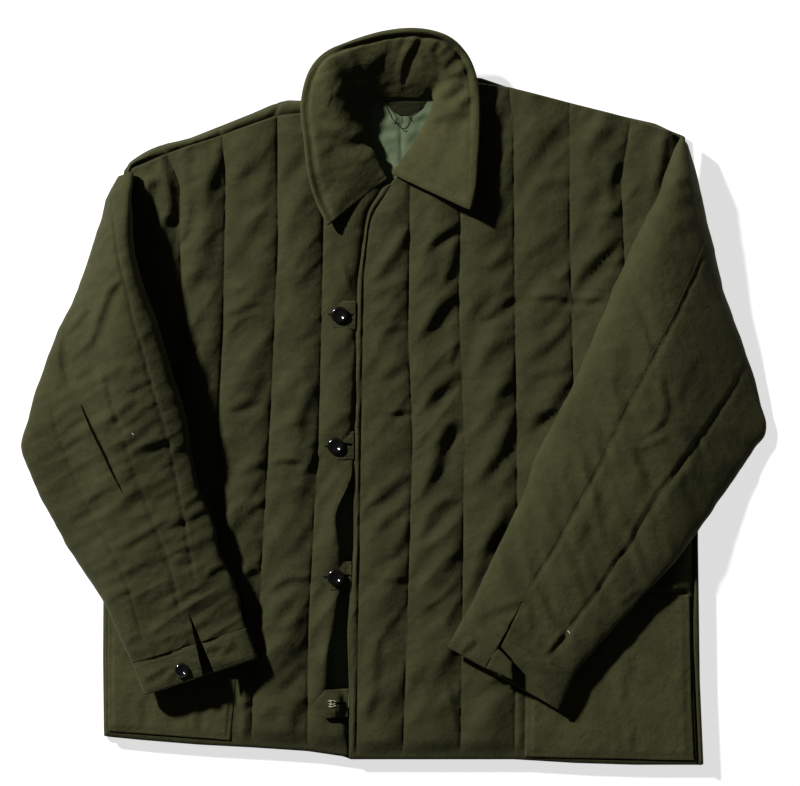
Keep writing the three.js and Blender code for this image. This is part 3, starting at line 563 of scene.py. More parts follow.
def front_surface(front, seed):
    """The quilted top of a front as a grid of points, in columns channel by channel."""
    seams, crowns = front["seams"], front["crowns"]
    x0, x1, pocket_top = front["pocket"]
    columns = []
    for k in range(len(seams) - 1):
        last = k == len(seams) - 2
        even = np.linspace(0, 1, CHANNEL_COLUMNS + 1)
        for f in (even - 0.72 * np.sin(2 * math.pi * even) / (2 * math.pi))[: None if last else -1]:
            left, right = seams[k], seams[k + 1]
            bulge = front["neckline"][1] * (1 - (2 * f - 1) ** 2) if k == front["neckline"][0] else 0
            top = lerp(left[0][1], right[0][1], f) + bulge
            foot = lerp(left[-1][1], right[-1][1], f)
            y = lerp(top, foot, np.linspace(0, 1, FRONT_ROWS + 1))
            xl, xr = seam_x(left, y), seam_x(right, y)
            x = lerp(xl, xr, f)
            full = 1 - abs(2 * f - 1) ** front["power"]
            hem = smooth((y - foot) / 20)
            shoulder = lerp(0.7, 1, smooth((top - y) / 22))
            pocket = (smooth((x - x0) / 10 + 1) * smooth((x1 - x) / 10 + 1)
                      * smooth((pocket_top - y) / 10 + 1))
            open_cloth = lerp(1, 0.12, pocket)
            from_seam = np.minimum(f, 1 - f) * (xr - xl)
            pin = full ** 0.6 * hem * open_cloth * smooth((y - foot) / 60)
            z = QUILT_Z + (2.5 + crowns[k] * full) * hem * shoulder * open_cloth
            z = z - np.minimum(1.1, 0.06 * (xr - xl)) * np.exp(-from_seam / 1.4) * open_cloth * hem
            hold = lerp(0.6, 1, full) * hem * open_cloth
            z = z + hold * folds_at(x, y, front["folds"]) * min(1, crowns[k] / 3)
            size = min(1, crowns[k] / 4)
            z = z + pin * size * (1.5 * creases(x, y, 62, 21, seed + 21, 50)
                                  + 3.0 * value_noise(x, y, 95, 38, seed, 56)
                                  + 2.9 * value_noise(x, y, 44, 16, seed + 1, 50)
                                  + 0.38 * value_noise(x, y, 15, 6, seed + 2, 40))
            if "lift" in front and k == len(crowns) - 1:
                rise = sum(h * np.exp(-((y - at) / half) ** 4) for at, half, h in front["lift"])
                z = z + rise * smooth(f) ** 1.5
            pucker = np.exp(-from_seam / 7) * (1 - np.exp(-from_seam / 1.6)) * open_cloth * hem
            slope = 28 if f < 0.5 else -28
            z = z + size * 0.9 * pucker * value_noise(x, y, 16, 4.6, seed + 3 + k, slope)
            columns.append(np.stack([x, y, np.maximum(z, FRONT_Z + 1.5)], -1))
    return np.stack(columns)


def build_front(name, front, seed):
    return slab(name, front_surface(front, seed), FRONT_Z, OLIVE, bulge=1.6)


front_right = build_front("shell_front_right", RIGHT_FRONT, 11)
front_left = build_front("shell_front_left", LEFT_FRONT, 31)

# ---------- back ----------
BACK_LEFT = [[-293, 246], [-300, 192], [-308, 127], [-312, 62], [-315, -113], [-316, -287], [-315, -370]]
BACK_RIGHT = [[317, 283], [323, 214], [330, 138], [333, 62], [331, -156], [333, -309], [337, -401]]
BACK_TOP = [[-293, 246], [-286, 256], [-258, 272], [-222, 281], [-189, 294], [-154, 308], [-122, 321],
            [-99, 322], [-50, 330], [-36, 331], [-20, 332], [8, 332], [38, 332], [52, 333], [66, 346],
            [94, 347], [126, 336], [172, 325], [217, 313], [258, 303], [285, 297], [302, 289], [317, 283]]
BACK_HEM = [[-315, -370], [-274, -374], [-212, -379], [-155, -382], [-94, -386], [-53, -392],
            [-47, -395], [73, -395], [132, -395], [198, -399], [263, -401], [337, -401]]
BACK_CHANNELS = 11


def back_grid(s, t):
    s, t = s[:, None], t[None, :]
    top, hem = np.asarray(BACK_TOP, float), np.asarray(BACK_HEM, float)
    y1 = np.interp(lerp(-293, 317, s), top[:, 0], top[:, 1])
    y0 = np.interp(lerp(-315, 337, s), hem[:, 0], hem[:, 1])
    y = lerp(y1, y0, t)
    x = lerp(seam_x(BACK_LEFT, y, 4), seam_x(BACK_RIGHT, y, 4), s + 0 * t)
    return s + 0 * t, t + 0 * s, x, y


def front_gap(x, y):
    """1 where the fronts part and the back lies deeper, else 0."""
    return smooth((x + 95) / 18) * smooth((-18 - x) / 14) * smooth((-45 - y) / 30) * smooth((y + 372) / 30)


def build_back():
    s, t, x, y = back_grid(np.concatenate([np.linspace(0, 0.965, 125)[:-1], np.linspace(0.965, 1, 16)]),
                           np.linspace(0, 1, 91))
    beside = smooth((x - seam_x(LEFT_FRONT["seams"][-1], y) - 2.2) / 1.5) * smooth((240 - y) / 30)
    f = (s * BACK_CHANNELS) % 1
    full = 1 - np.abs(2 * f - 1) ** 2.3
    rim = smooth(np.minimum(t, 1 - t) / 0.03) * smooth(np.minimum(s, 1 - s) / 0.012)
    under = 2.8 * (1 - full) * rim + 1.6 * (1 - rim)
    under = under + 0.7 * (1 - full) * value_noise(x, y, 14, 5, 71)
    foot = np.stack([x, y, np.maximum(under, 0)], -1)
    top = np.stack([x, y, BACK_THICKNESS - 1.2 * (1 - rim) * (1 - beside) + 7.5 * beside - 5.0 * front_gap(x, y)], -1)
    return slab("shell_back", top, foot, OLIVE, bulge=1.4)


back = build_back()

STRIP_OUT = [[-290, 246.8], [-286, 256], [-258, 272], [-222, 281], [-189, 294], [-154, 308], [-122, 321],
             [-99, 322], [-66, 327]]
STRIP_IN = [[-288, 245.6], [-279, 254], [-248, 264], [-217, 274], [-187, 284], [-157, 295],
            [-127, 305], [-97, 308.5], [-66, 311]]


def build_strip():
    """The back's cloth where it wraps over the right shoulder to the seam on the front."""
    outer, inner = catmull(STRIP_OUT, 150), catmull(STRIP_IN, 150)
    across = np.linspace(0, 1, 17)
    rows = []
    for i in range(len(outer)):
        notch = max(math.exp(-abs(outer[i][0] - at) / 3.5) for at in (-256, -190, -125))
        crest = 19.4 - 3.0 * notch
        dome = np.sqrt(np.clip(1 - (2 * across - 1) ** 2, 0, 1))
        z = np.where(across < 0.5, lerp(15.2, crest, np.sin(across * math.pi)), lerp(9.0, crest, dome))
        reach = across * (1.06 - 0.16 * notch)
        xy = lerp(inner[i][None, :], outer[i][None, :], reach[:, None])
        z = z + 0.5 * value_noise(xy[:, 0], xy[:, 1], 16, 6, 83, 70) * np.sin(across * math.pi)
        rows.append(np.concatenate([xy, z[:, None]], 1))
    return slab("shell_shoulder", np.stack(rows), BACK_THICKNESS - 1.0, OLIVE, bulge=0.6)


strip = build_strip()

# ---------- lining ----------
LINING_FOLDS = [
    ([(372, 106), (384, 112), (395, 117)], 0.7, 4), ([(376, 127), (388, 129), (399, 130)], 0.7, 4),
    ([(436, 118), (424, 117), (412, 121)], 0.8, 4), ([(378, 147), (388, 152), (398, 150)], 0.5, 5),
    ([(420, 130), (412, 138), (404, 145)], 0.6, 5),
]


def build_lining():
    s, t, x, y = back_grid(
        np.concatenate([np.linspace(0, 0.38, 22)[:-1], np.linspace(0.38, 0.56, 66)[:-1], np.linspace(0.56, 1, 22)]),
        np.concatenate([np.linspace(0, 0.17, 58)[:-1], np.linspace(0.17, 1, 34)]))
    x = x * 0.985
    inset_top = lerp(4 + 0.012 * y, 2, smooth((75 - np.abs(x)) / 20))
    y = np.where(y > 0, y - inset_top, y + 6)
    neck = smooth((70 - np.abs(x - 8)) / 20) * smooth((y - 225) / 15)
    z = LINING_Z + LINING_THICKNESS + neck * (1.2 + 0.9 * value_noise(x, y, 34, 9, 91, 10))
    z = z + 2.2 * neck * folds_at(x, y, LINING_FOLDS)
    z = z - 1.8 * neck * np.exp(-np.abs(x - mm([401, 0])[0]) / 1.6)
    sunk = 5.0 * front_gap(x, y)
    top = np.stack([x, y, np.clip(z, LINING_Z + 0.2, LINING_Z + 4.5) - sunk], -1)
    foot = np.stack([x, y, LINING_Z - sunk], -1)
    return slab("lining_back", top, foot, LINING, bulge=0.3, steps=3)


lining = build_lining()

# ---------- patch pockets ----------
POCKET_EDGES = {
    "right": ([[-310, -222], [-311, -287], [-310, -364]],
              [[-160, -222], [-166, -260], [-171, -295], [-179, -374]]),
    "left": ([[146, -217], [145, -330], [144, -392]], [[322, -217], [324, -331], [327, -396]]),
}
POCKET_FOLDS = {
    "right": [([(246, 706), (239, 709), (233, 716)], 1.2, 4), ([(142, 694), (142, 712), (141, 736)], 1.4, 5),
              ([(199, 696), (199, 715), (198, 738)], 1.6, 5), ([(170, 700), (168, 716), (166, 736)], 0.7, 7)],
    "left": [([(633, 648), (628, 680), (627, 728)], 1.0, 6), ([(636, 726), (634, 740), (634, 757)], 1.2, 5),
             ([(540, 706), (560, 716), (580, 716)], 0.9, 8), ([(694, 640), (688, 680), (686, 730)], 0.8, 6)],
}


def build_pocket(side, seed):
    left, right = POCKET_EDGES[side]
    s = np.linspace(0, 1, 97)[:, None]
    t = np.linspace(0, 1, 85)[None, :]
    y = lerp(lerp(left[0][1], right[0][1], s), lerp(left[-1][1], right[-1][1], s), t)
    x = lerp(seam_x(left, y), seam_x(right, y), s + 0 * t)
    edge = smooth(np.minimum(np.minimum(s, 1 - s) * 176, np.minimum(t, 1 - t) * 160) / 9)
    z = QUILT_Z + 2.2 + edge * 1.2
    z = z + edge * (0.7 * value_noise(x, y, 60, 34, seed, 80) + 0.25 * value_noise(x, y, 20, 9, seed + 1, 70))
    z = z + edge * folds_at(x, y, POCKET_FOLDS[side])
    double = sum(np.exp(-(((1 - t) * 0 + t * 170 - d) / 1.4) ** 2) for d in (4.0, 18.5))
    border = np.exp(-((s * 176 - 5) / 1.4) ** 2) + np.exp(-(((1 - s) * 176 - 5) / 1.4) ** 2)
    z = z - 0.45 * np.minimum(double + border, 1)
    top = np.stack([x, y, z], -1)
    foot = np.stack([x, y, np.full_like(z, QUILT_Z + 0.4) + edge * 0.9], -1)
    # the pocket's olive is lightened with painted light
    return slab(f"patch_pocket_{side}", top, foot, PALE_OLIVE_PAINTED_LIGHT, bulge=0.8, steps=4)


pocket_right = build_pocket("right", 101)
pocket_left = build_pocket("left", 111)

# ---------- sleeves ----------
# Stations from the shoulder to the wrist: outer edge, inner edge, height and lean.
CLEFT = [(82.5, 404), (88, 417), (96, 434), (105, 452), (114, 472), (124, 492)]
SLEEVES = {
    "right": {
        "side": RIGHT_FRONT["seams"][0], "outward": -1, "edge": 13.0, "power": 0.5, "drop_from": 30.0, "drop": 80.0,
        # the right sleeve's olive is darkened with painted shade
        "cloth": OLIVE_PAINTED_SHADE,
        "stations": [
            (-299, 240, -284, 244, 20, 0), (-311, 217, -284, 223, 36, 0.15), (-319, 192, -284, 198, 45, 0.25),
            (-331, 156, -283, 168, 52, 0.25), (-346, 111, -275, 132, 56, 0.27), (-366, 70, -260, 90, 56, 0.27),
            (-385, 20, -243, 40, 55, 0.27), (-399, -24, -232, 0, 52, 0.26), (-405, -58, -223, -30, 48, 0.24),
            (-397, -84, -219, -60, 42, 0.2), (-378, -123, -211, -98, 38, 0.14),
            (-356, -163, -196, -138, 35, 0.1), (-334, -195, -185, -178, 33, 0.08),
            (-316, -224, -171, -208, 31, 0.05), (-300, -258, -165, -230, 27, 0),
            (-284, -290, -160, -251, 26, 0)],
        "cuff": (-271, -324, -148, -283, 22, 0),
        "vent": [[-222, -234], [-204, -315], [-190, -310]],
        "grooves": [
            ([(111, 196), (120, 258), (128, 289), (136, 324), (143, 345), (152, 380), (163, 418),
              (173, 456), (180, 495), (187, 533), (192, 562), (198, 592)], 2.7, 2.0),
            ([(107, 385), (115, 410), (128, 448), (140, 485), (150, 510), (163, 545), (172, 570),
              (183, 622)], 2.8, 1.7),
            ([(50, 400), (57, 430), (68, 460), (80, 490), (100, 530), (118, 560), (130, 590),
              (145, 645)], 2.6, 1.7),
        ],
        "folds": [
            ([(126, 278), (112, 297), (105, 315), (100, 332), (95, 343), (85, 352), (66, 366)], 7.5, 5),
            ([(106, 372), (110, 395), (116, 415), (122, 432)], 2.6, 3),
            ([(93, 309), (82, 321), (70, 334)], 4.6, 4.5), ([(63, 336), (62, 352), (64, 370), (71, 392)], 7.0, 4),
            ([(143, 399), (128, 408), (115, 416), (110, 426), (105, 442)], 2.6, 5),
            ([(155, 380), (139, 389), (123, 395)], 3.0, 4), ([(130, 364), (118, 375), (97, 386)], 3.6, 5),
            ([(172, 436), (156, 452), (140, 463), (118, 477)], 2.3, 6),
            ([(164, 440), (150, 447), (138, 450)], 2.0, 5), ([(192, 442), (178, 452), (167, 460)], 3.4, 4),
            ([(192, 462), (174, 474), (157, 482)], 2.4, 5), ([(205, 495), (192, 504), (178, 510)], 3.0, 4),
            ([(208, 509), (196, 517), (184, 523)], 2.8, 4), ([(188, 517), (178, 524), (168, 530)], 3.2, 4),
            ([(224, 537), (206, 544), (195, 549), (180, 552), (166, 549)], 3.6, 5),
            ([(232, 563), (218, 570), (205, 579)], 5.0, 5),
            ([(229, 576), (212, 583), (200, 590), (186, 594)], 4.6, 5),
            ([(196, 559), (182, 562), (170, 566)], 3.2, 4), ([(245, 607), (227, 614), (206, 614)], 2.4, 5),
            ([(135, 589), (120, 598), (112, 603), (102, 612)], 4.8, 5.5),
            ([(114, 547), (101, 556), (88, 567)], 2.8, 6), ([(152, 624), (140, 636), (123, 648)], 3.4, 5),
            ([(86, 416), (71, 427), (56, 438)], 3.2, 4), ([(88, 436), (74, 444), (62, 453)], 2.4, 4),
            ([(154, 331), (146, 340), (138, 348)], 2.2, 4), ([(108, 495), (97, 498), (87, 506)], 1.8, 4),
            ([(120, 566), (112, 572), (98, 578)], 1.8, 5), ([(166, 590), (158, 600), (148, 606)], 1.6, 5),
            ([(60, 478), (72, 470), (84, 466)], 1.4, 6), ([(84, 520), (96, 512), (106, 508)], 1.6, 6),
            ([(150, 642), (155, 650), (158, 660)], 1.6, 3), ([(168, 640), (171, 650), (172, 658)], 1.6, 3),
            ([(134, 602), (140, 615), (143, 630)], 1.6, 4), ([(98, 366), (86, 374), (74, 386)], 4.0, 4.5),
        ],
        "pucker": 1.35,
        "clefts": [(CLEFT, 2.6, 5.0)],
    },
    "left": {
        "side": LEFT_FRONT["seams"][-1], "outward": 1, "edge": 6.5, "power": 0.8, "drop_from": 38.0, "drop": 116.0,
        # the left sleeve's olive is lightened with painted light
        "cloth": OLIVE_PAINTED_LIGHT,
        "stations": [
            (321, 274, 313, 284, 16, 0), (329, 245, 301, 254, 26, 0), (338, 208, 284, 212, 31, 0.1),
            (350, 158, 259, 162, 34, 0.15), (362, 107, 239, 116, 34, 0.15), (377, 70, 223, 78, 33, 0.15),
            (391, 30, 206, 38, 31, 0.15), (401, -8, 193, 10, 29, 0.15), (407, -38, 183, -10, 27, 0.15),
            (392, -60, 173, -30, 25, 0.15), (367, -98, 162, -50, 24, 0.15), (340, -134, 151, -76, 23, 0.15),
            (314, -172, 140, -110, 22, 0.15), (283, -205, 122, -147, 21, 0.1),
            (253, -238, 103, -188, 20, 0.1), (222, -273, 87, -219, 19, 0), (196, -304, 76, -240, 18, 0)],
        "cuff": (180, -340, 59, -272, 12.5, 0),
        "vent": [[141, -222], [96, -303], [112, -322], [182, -350], [161, -322], [117, -272]],
        "grooves": [
            ([(709, 240), (693.6, 277), (675, 317.5), (653.6, 357), (623, 416), (600, 464),
              (555.7, 546), (523.5, 597)], 3.0, 1.6),
            ([(756, 352), (744.6, 367.5), (732, 389), (710.7, 421), (696, 441), (680, 465), (659, 491),
              (637.5, 526), (628.6, 546), (617, 558), (597, 590), (582, 610), (560, 641), (538, 664)], 2.7, 2.2),
        ],
        "folds": [
            ([(752, 358), (732, 389), (710.7, 421), (696, 441), (659, 491), (637.5, 526), (628.6, 546),
              (617, 558), (597, 590), (578, 616), (556, 648)], 2.3, 3.4),
            ([(661, 372), (667, 402), (666, 418), (656, 430), (632, 446)], 3.8, 4),
            ([(702, 352), (686, 384), (677, 402), (666, 426)], 1.7, 5),
            ([(666, 436), (653, 447), (641, 452), (628, 447)], 2.6, 5),
            ([(634, 306), (643, 328), (650, 343), (658, 362)], 2.4, 5),
            ([(622, 336), (620, 362), (618, 384), (606, 408)], 2.6, 8),
            ([(604, 456), (600, 432), (590, 410), (578, 388)], 3.0, 7),
            ([(590, 470), (582, 452), (570, 436), (562, 420)], 2.4, 6),
            ([(560, 512), (552, 494), (541, 476)], 2.4, 5), ([(540, 560), (530, 540), (520, 524)], 2.4, 5),
            ([(628, 420), (622, 402), (612, 380)], 2.2, 6), ([(684, 452), (676, 462), (672, 480)], 2.0, 5),
            ([(575, 448), (568, 468), (560, 486)], 1.8, 6), ([(541, 468), (554, 487), (564, 506)], 2.2, 5),
            ([(602, 490), (593, 514), (584, 532), (576, 560)], 3.4, 7),
            ([(612, 496), (604, 514), (598, 530)], 2.0, 5), ([(712, 176), (690, 184), (668, 190)], 3.6, 8),
            ([(706, 194), (688, 201), (664, 206)], 2.6, 7), ([(696, 222), (678, 233), (660, 243)], 2.4, 8),
            ([(526, 602), (505, 608), (474, 620)], 2.8, 5), ([(529, 604), (533, 625), (529, 645)], 2.4, 5),
            ([(543, 594), (552, 618), (560, 638)], 2.4, 5), ([(566, 632), (556, 645), (544, 660)], 3.6, 4),
            ([(495, 552), (507, 568), (514, 586)], 1.8, 6), ([(640, 590), (632, 597), (618, 606)], 2.4, 4),
            ([(480, 626), (472, 636), (462, 645)], 2.0, 4), ([(548, 500), (556, 520), (558, 540)], 1.6, 6),
            ([(690, 470), (678, 486), (668, 505)], 1.6, 7), ([(648, 470), (640, 486), (634, 505)], 1.8, 7),
            ([(524, 540), (534, 556), (538, 572)], 1.6, 6), ([(668, 250), (660, 268), (650, 284)], 1.6, 8),
        ],
        "pucker": 0.8,
        "clefts": [],
    },
}


def sleeve_rest(sleeve, x, y):
    beyond = (x - seam_x(sleeve["side"], y)) * sleeve["outward"]
    return lerp(SLEEVE_REST, FLOOR_CLEARANCE, smooth((beyond + sleeve["drop_from"]) / sleeve["drop"]))


def sleeve_rings(sleeve, stations, wall, count):
    """Rings of points round a sleeve, and how much of each faces up."""
    out_x, out_y, in_x, in_y, height, lean = (c[:, None] for c in np.asarray(stations).T)
    half = np.hypot(in_x - out_x, in_y - out_y) / 2
    shrink = np.maximum(half - wall, 0.5) / half
    edge = np.minimum(sleeve["edge"], height * 0.45)
    turn = np.linspace(0, 2 * math.pi, count, endpoint=False)[None, :]
    across = np.cos(turn) * shrink
    x = lerp(out_x, in_x, (across + 1) / 2)
    y = lerp(out_y, in_y, (across + 1) / 2)
    rise = np.sin(turn) + 0 * across
    above = (height - edge - wall) * (1 + lean * across) * np.maximum(0, rise) ** sleeve["power"]
    below = np.maximum(edge - wall, 0.5) * np.maximum(0, -rise) ** LOWER_POWER
    return np.stack([x, y, sleeve_rest(sleeve, x, y) + edge + above - below], -1), rise


def roughen_sleeve(sleeve, rings, rise, seed):
    """Seams, folds and gathers on the upper half of a sleeve."""
    x, y = rings[..., 0].copy(), rings[..., 1].copy()
    up = np.clip(rise, 0, 1) ** 0.5
    wrist = smooth((60 - y) / 160)
    across = 30 if sleeve["outward"] < 0 else 112
    z = 0.6 * folds_at(x, y, sleeve["folds"]) - grooves_at(x, y, sleeve["grooves"])
    busy = sleeve["pucker"] * lerp(0.3, 1, wrist)
    z = z + busy * (1.3 * value_noise(x, y, 30, 9, seed, across) + 0.9 * creases(x, y, 58, 19, seed + 7, across))
    z = z + 1.9 * value_noise(x, y, 74, 34, seed + 1, across)
    z = z + 0.4 * sleeve["pucker"] * value_noise(x, y, 15, 6, seed + 2, across)
    for line, depth, width in sleeve["grooves"]:
        away, _, _ = line_distance(x, y, mm(line))
        near = np.exp(-away / 10) * (1 - np.exp(-away / 2))
        z = z + 0.6 * sleeve["pucker"] * near * value_noise(x, y, 15, 5, seed + 3, across)
    for line, deep, width in sleeve["clefts"]:
        away, _, along = line_distance(x, y, mm(line))
        z = z - deep * smooth(np.minimum(along, 1 - along) / 0.2) * np.exp(-(away / width) ** 2)
    rings[..., 2] += z * up
    side = np.clip(1 - np.abs(rise) * 1.5, 0, 1)
    push = (1.3 * value_noise(x, y, 24, 24, seed + 4) + 0.5 * value_noise(x, y, 9, 9, seed + 5)) * side
    centre = rings[..., :2].mean(1, keepdims=True)
    away = rings[..., :2] - centre
    rings[..., :2] += away / np.maximum(np.hypot(away[..., 0], away[..., 1]), 1)[..., None] * push[..., None]
    return rings


def tube(name, outer, inner, material, closed_start, cutter):
    """A soft tube with a wall, closed or open at its first ring, with a vent cut out of it."""
    n, m = outer.shape[:2]
    k = inner.shape[0]
    points = [outer.reshape(-1, 3), inner.reshape(-1, 3)]
    a = np.arange(n * m).reshape(n, m)
    b = n * m + np.arange(k * inner.shape[1]).reshape(k, -1)
    wrap = np.concatenate([a, a[:, :1]], 1)
    faces = [grid_faces(wrap)]
    wrap = np.concatenate([b, b[:, :1]], 1)
    faces.append(grid_faces(wrap, True))
    ends = n * m + b.size
    middle = (outer[-1] + inner[-1]) / 2
    fall = outer[-1].mean(0) - outer[-4].mean(0)
    middle = middle + fall / np.linalg.norm(fall) * 1.2
    points.append(middle)
    mid = np.arange(ends, ends + m)
    faces += [ring_faces(a[-1], mid), ring_faces(mid, b[-1])]
    polys = [list(f) for f in np.concatenate(faces)]
    if closed_start:
        polys += [list(a[0]), list(b[0])[::-1]]
    else:
        polys += [list(f) for f in ring_faces(b[0], a[0])]
    obj = make_object(name, np.concatenate(points), polys, material)
    if cutter is not None:
        cut = obj.modifiers.new("vent", "BOOLEAN")
        cut.operation, cut.solver, cut.object = "DIFFERENCE", "EXACT", cutter
        bpy.context.view_layer.update()
        done = obj.evaluated_get(bpy.context.evaluated_depsgraph_get())
        mesh = bpy.data.meshes.new_from_object(done)
        obj.modifiers.remove(cut)
        obj.data = mesh
        mesh.shade_smooth()
    return obj


def vent_cutter(sleeve):
    outline = np.asarray(sleeve["vent"], float)
    n = len(outline)
    low = np.concatenate([outline, np.full((n, 1), SLEEVE_REST + sleeve["edge"] + 0.5)], 1)
    high = np.concatenate([outline, np.full((n, 1), SLEEVE_REST + 60)], 1)
    ring = np.arange(n)
    faces = [list(f) for f in ring_faces(ring, ring + n)] + [list(ring), list(ring + n)[::-1]]
    cutter = make_object("vent_cutter", np.concatenate([low, high]), faces, OLIVE)
    return cutter


def build_sleeve(side, seed):
    sleeve = SLEEVES[side]
    stations = catmull(sleeve["stations"], 256)
    outer, rise = sleeve_rings(sleeve, stations, 0, 190)
    outer = roughen_sleeve(sleeve, outer, rise, seed)
    inner, _ = sleeve_rings(sleeve, stations[205:-2:5], SLEEVE_WALL * 1.3, 190)
    inner_end, _ = sleeve_rings(sleeve, stations[-1:], SLEEVE_WALL * 0.6, 190)
    inner = np.concatenate([inner, inner_end])
    cutter = vent_cutter(sleeve)
    made = tube(f"shell_sleeve_{side}", outer, inner, sleeve["cloth"], True, cutter)
    wrist, cuff = np.asarray(sleeve["stations"][-1], float), np.asarray(sleeve["cuff"], float)
    ends = np.stack([lerp(wrist, cuff, t) for t in np.linspace(0.012, 1, 42)])
    ends[:, 4] += 1.6 * np.sin(np.linspace(0, math.pi, 42)) ** 0.4 - 0.8
    outer, rise = sleeve_rings(sleeve, ends, 0, 200)
    x, y = outer[..., 0], outer[..., 1]
    up = np.clip(rise, 0, 1) ** 0.5
    dent = folds_at(x, y, CUFF_FOLDS[side]) + 0.3 * value_noise(x, y, 20, 9, seed + 9)
    along = np.linspace(0, 1, 42)[:, None] * 36
    for d in (2.2, 33.8):
        dent = dent - 0.4 * np.exp(-((along - d) / 0.9) ** 2)
    outer[..., 2] += up * dent
    inner, _ = sleeve_rings(sleeve, ends, CUFF_WALL, 200)
    inner[..., 2] += up * dent * 0.5
    band = tube(f"cuff_band_{side}", outer, inner, TRIM, False, cutter)
    bpy.data.objects.remove(cutter)
    return made, band


CUFF_FOLDS = {
    "right": [([(143, 683), (155, 676), (168, 668), (178, 663)], 1.6, 4),
              ([(168, 684), (175, 676), (186, 672)], 1.2, 4), ([(238, 640), (232, 648), (222, 656)], 1.6, 5),
              ([(206, 650), (214, 650), (226, 645)], 1.2, 4)],
    "left": [([(477, 640), (468, 648), (459, 655)], 2.2, 4), ([(458, 634), (466, 634), (476, 637)], 1.2, 4),
             ([(522, 662), (532, 668), (545, 676)], 1.2, 5)],
}

sleeve_right, cuff_right = build_sleeve("right", 151)
sleeve_left, cuff_left = build_sleeve("left", 171)

# ---------- underlap of the left cuff ----------
UNDERLAP_Z = SLEEVE_REST + 13.5


def build_underlap():
    a, b, c, d = (np.array(p, float) for p in ([113, -273.5], [101.3, -295], [129, -307], [128, -289]))
    s = np.linspace(0, 1, 41)[:, None, None]
    t = np.linspace(0, 1, 31)[None, :, None]
    xy = lerp(lerp(a, d, s), lerp(b, c, s), t)
    x, y = xy[..., 0], xy[..., 1]
    edge = smooth(np.minimum(np.minimum(s, 1 - s) * 22, np.minimum(t, 1 - t) * 24)[..., 0] / 2.5)
    z = UNDERLAP_Z + 2.0 + 0.6 * edge + 0.25 * value_noise(x, y, 12, 7, 201)
    top = np.stack([x, y, z], -1)
    foot = np.stack([x, y, np.full_like(z, UNDERLAP_Z)], -1)
    return slab("cuff_underlap_left", top, foot, TRIM, bulge=0.5, steps=4)


underlap = build_underlap()

# ---------- collar ----------
# Neck seam, roll and outer rim from the right leaf's tip round to the left leaf's.
COLLAR_STATIONS = [
    (-8, 238, 17.5, -34, 219, 20.5, -71, 188, 34), (-18, 252, 20, -30, 258, 29, -84, 215, 34),
    (-25, 268, 19, -44, 274, 35, -92, 245, 39), (-28, 286, 17.5, -57, 294, 43, -96, 282, 42),
    (-28, 304, 15.5, -64, 318, 47.5, -99, 315, 44), (-25, 317, 13.5, -66, 340, 53.5, -92, 347, 47),
    (-18, 324, 13.5, -60, 361, 55, -76, 368, 51), (-8, 327, 13.5, -30, 367, 49, -47, 384, 56),
    (6, 328, 13.5, 4, 361, 40, -10, 395, 57), (20, 328, 13.5, 24, 361, 40, 26, 398, 57),
    (32, 329, 13.5, 42, 359, 40, 57, 391, 50), (42, 330, 14.5, 54, 350, 36, 77, 374, 41),
    (46, 322, 16, 57, 336, 33, 88, 351, 38), (43, 306, 17.5, 52, 314, 29, 92, 320, 37),
    (36, 288, 18.5, 42, 292, 28, 92, 286, 39), (27, 270, 20, 30, 270, 28, 90, 256, 42),
    (18, 254, 20, 18, 252, 27, 88, 228, 45), (8, 240, 20, 9, 239, 26, 83, 204, 46),
]
COLLAR_FOLDS = [
    ([(374, 150), (358, 143), (342, 141), (328, 134), (312, 128)], 5.0, 7), ([(318, 160), (330, 150), (338, 140)], 3.0, 6),
    ([(477, 96), (460, 112), (446, 120), (428, 127)], 5.6, 6), ([(472, 114), (456, 124), (442, 134)], 3.2, 6),
    ([(475, 66), (460, 77), (444, 81)], 4.6, 6), ([(466, 48), (453, 60), (441, 71)], 3.8, 5),
    ([(466, 84), (450, 95), (436, 101)], 4.0, 5), ([(456, 44), (444, 52), (437, 60)], 2.0, 4),
    ([(424, 28), (415, 46), (407, 60), (403, 74), (402, 92)], 4.8, 4.5),
    ([(394, 36), (387, 52), (379, 62), (366, 80)], 2.0, 5), ([(350, 44), (356, 60), (359, 78)], 1.8, 5),
    ([(420, 58), (431, 69), (444, 80)], 3.0, 4), ([(440, 40), (433, 52), (438, 66)], 3.0, 4),
    ([(318, 82), (332, 94), (350, 99)], 1.0, 7),
    ([(404, 36), (399, 48), (396, 60)], 2.0, 4), ([(372, 38), (362, 48), (352, 52)], 2.0, 4),
    ([(380, 84), (400, 82), (420, 84)], 1.2, 4), ([(446, 34), (452, 40), (456, 48)], 1.6, 3),
]
COLLAR_THICKNESS = 6.0


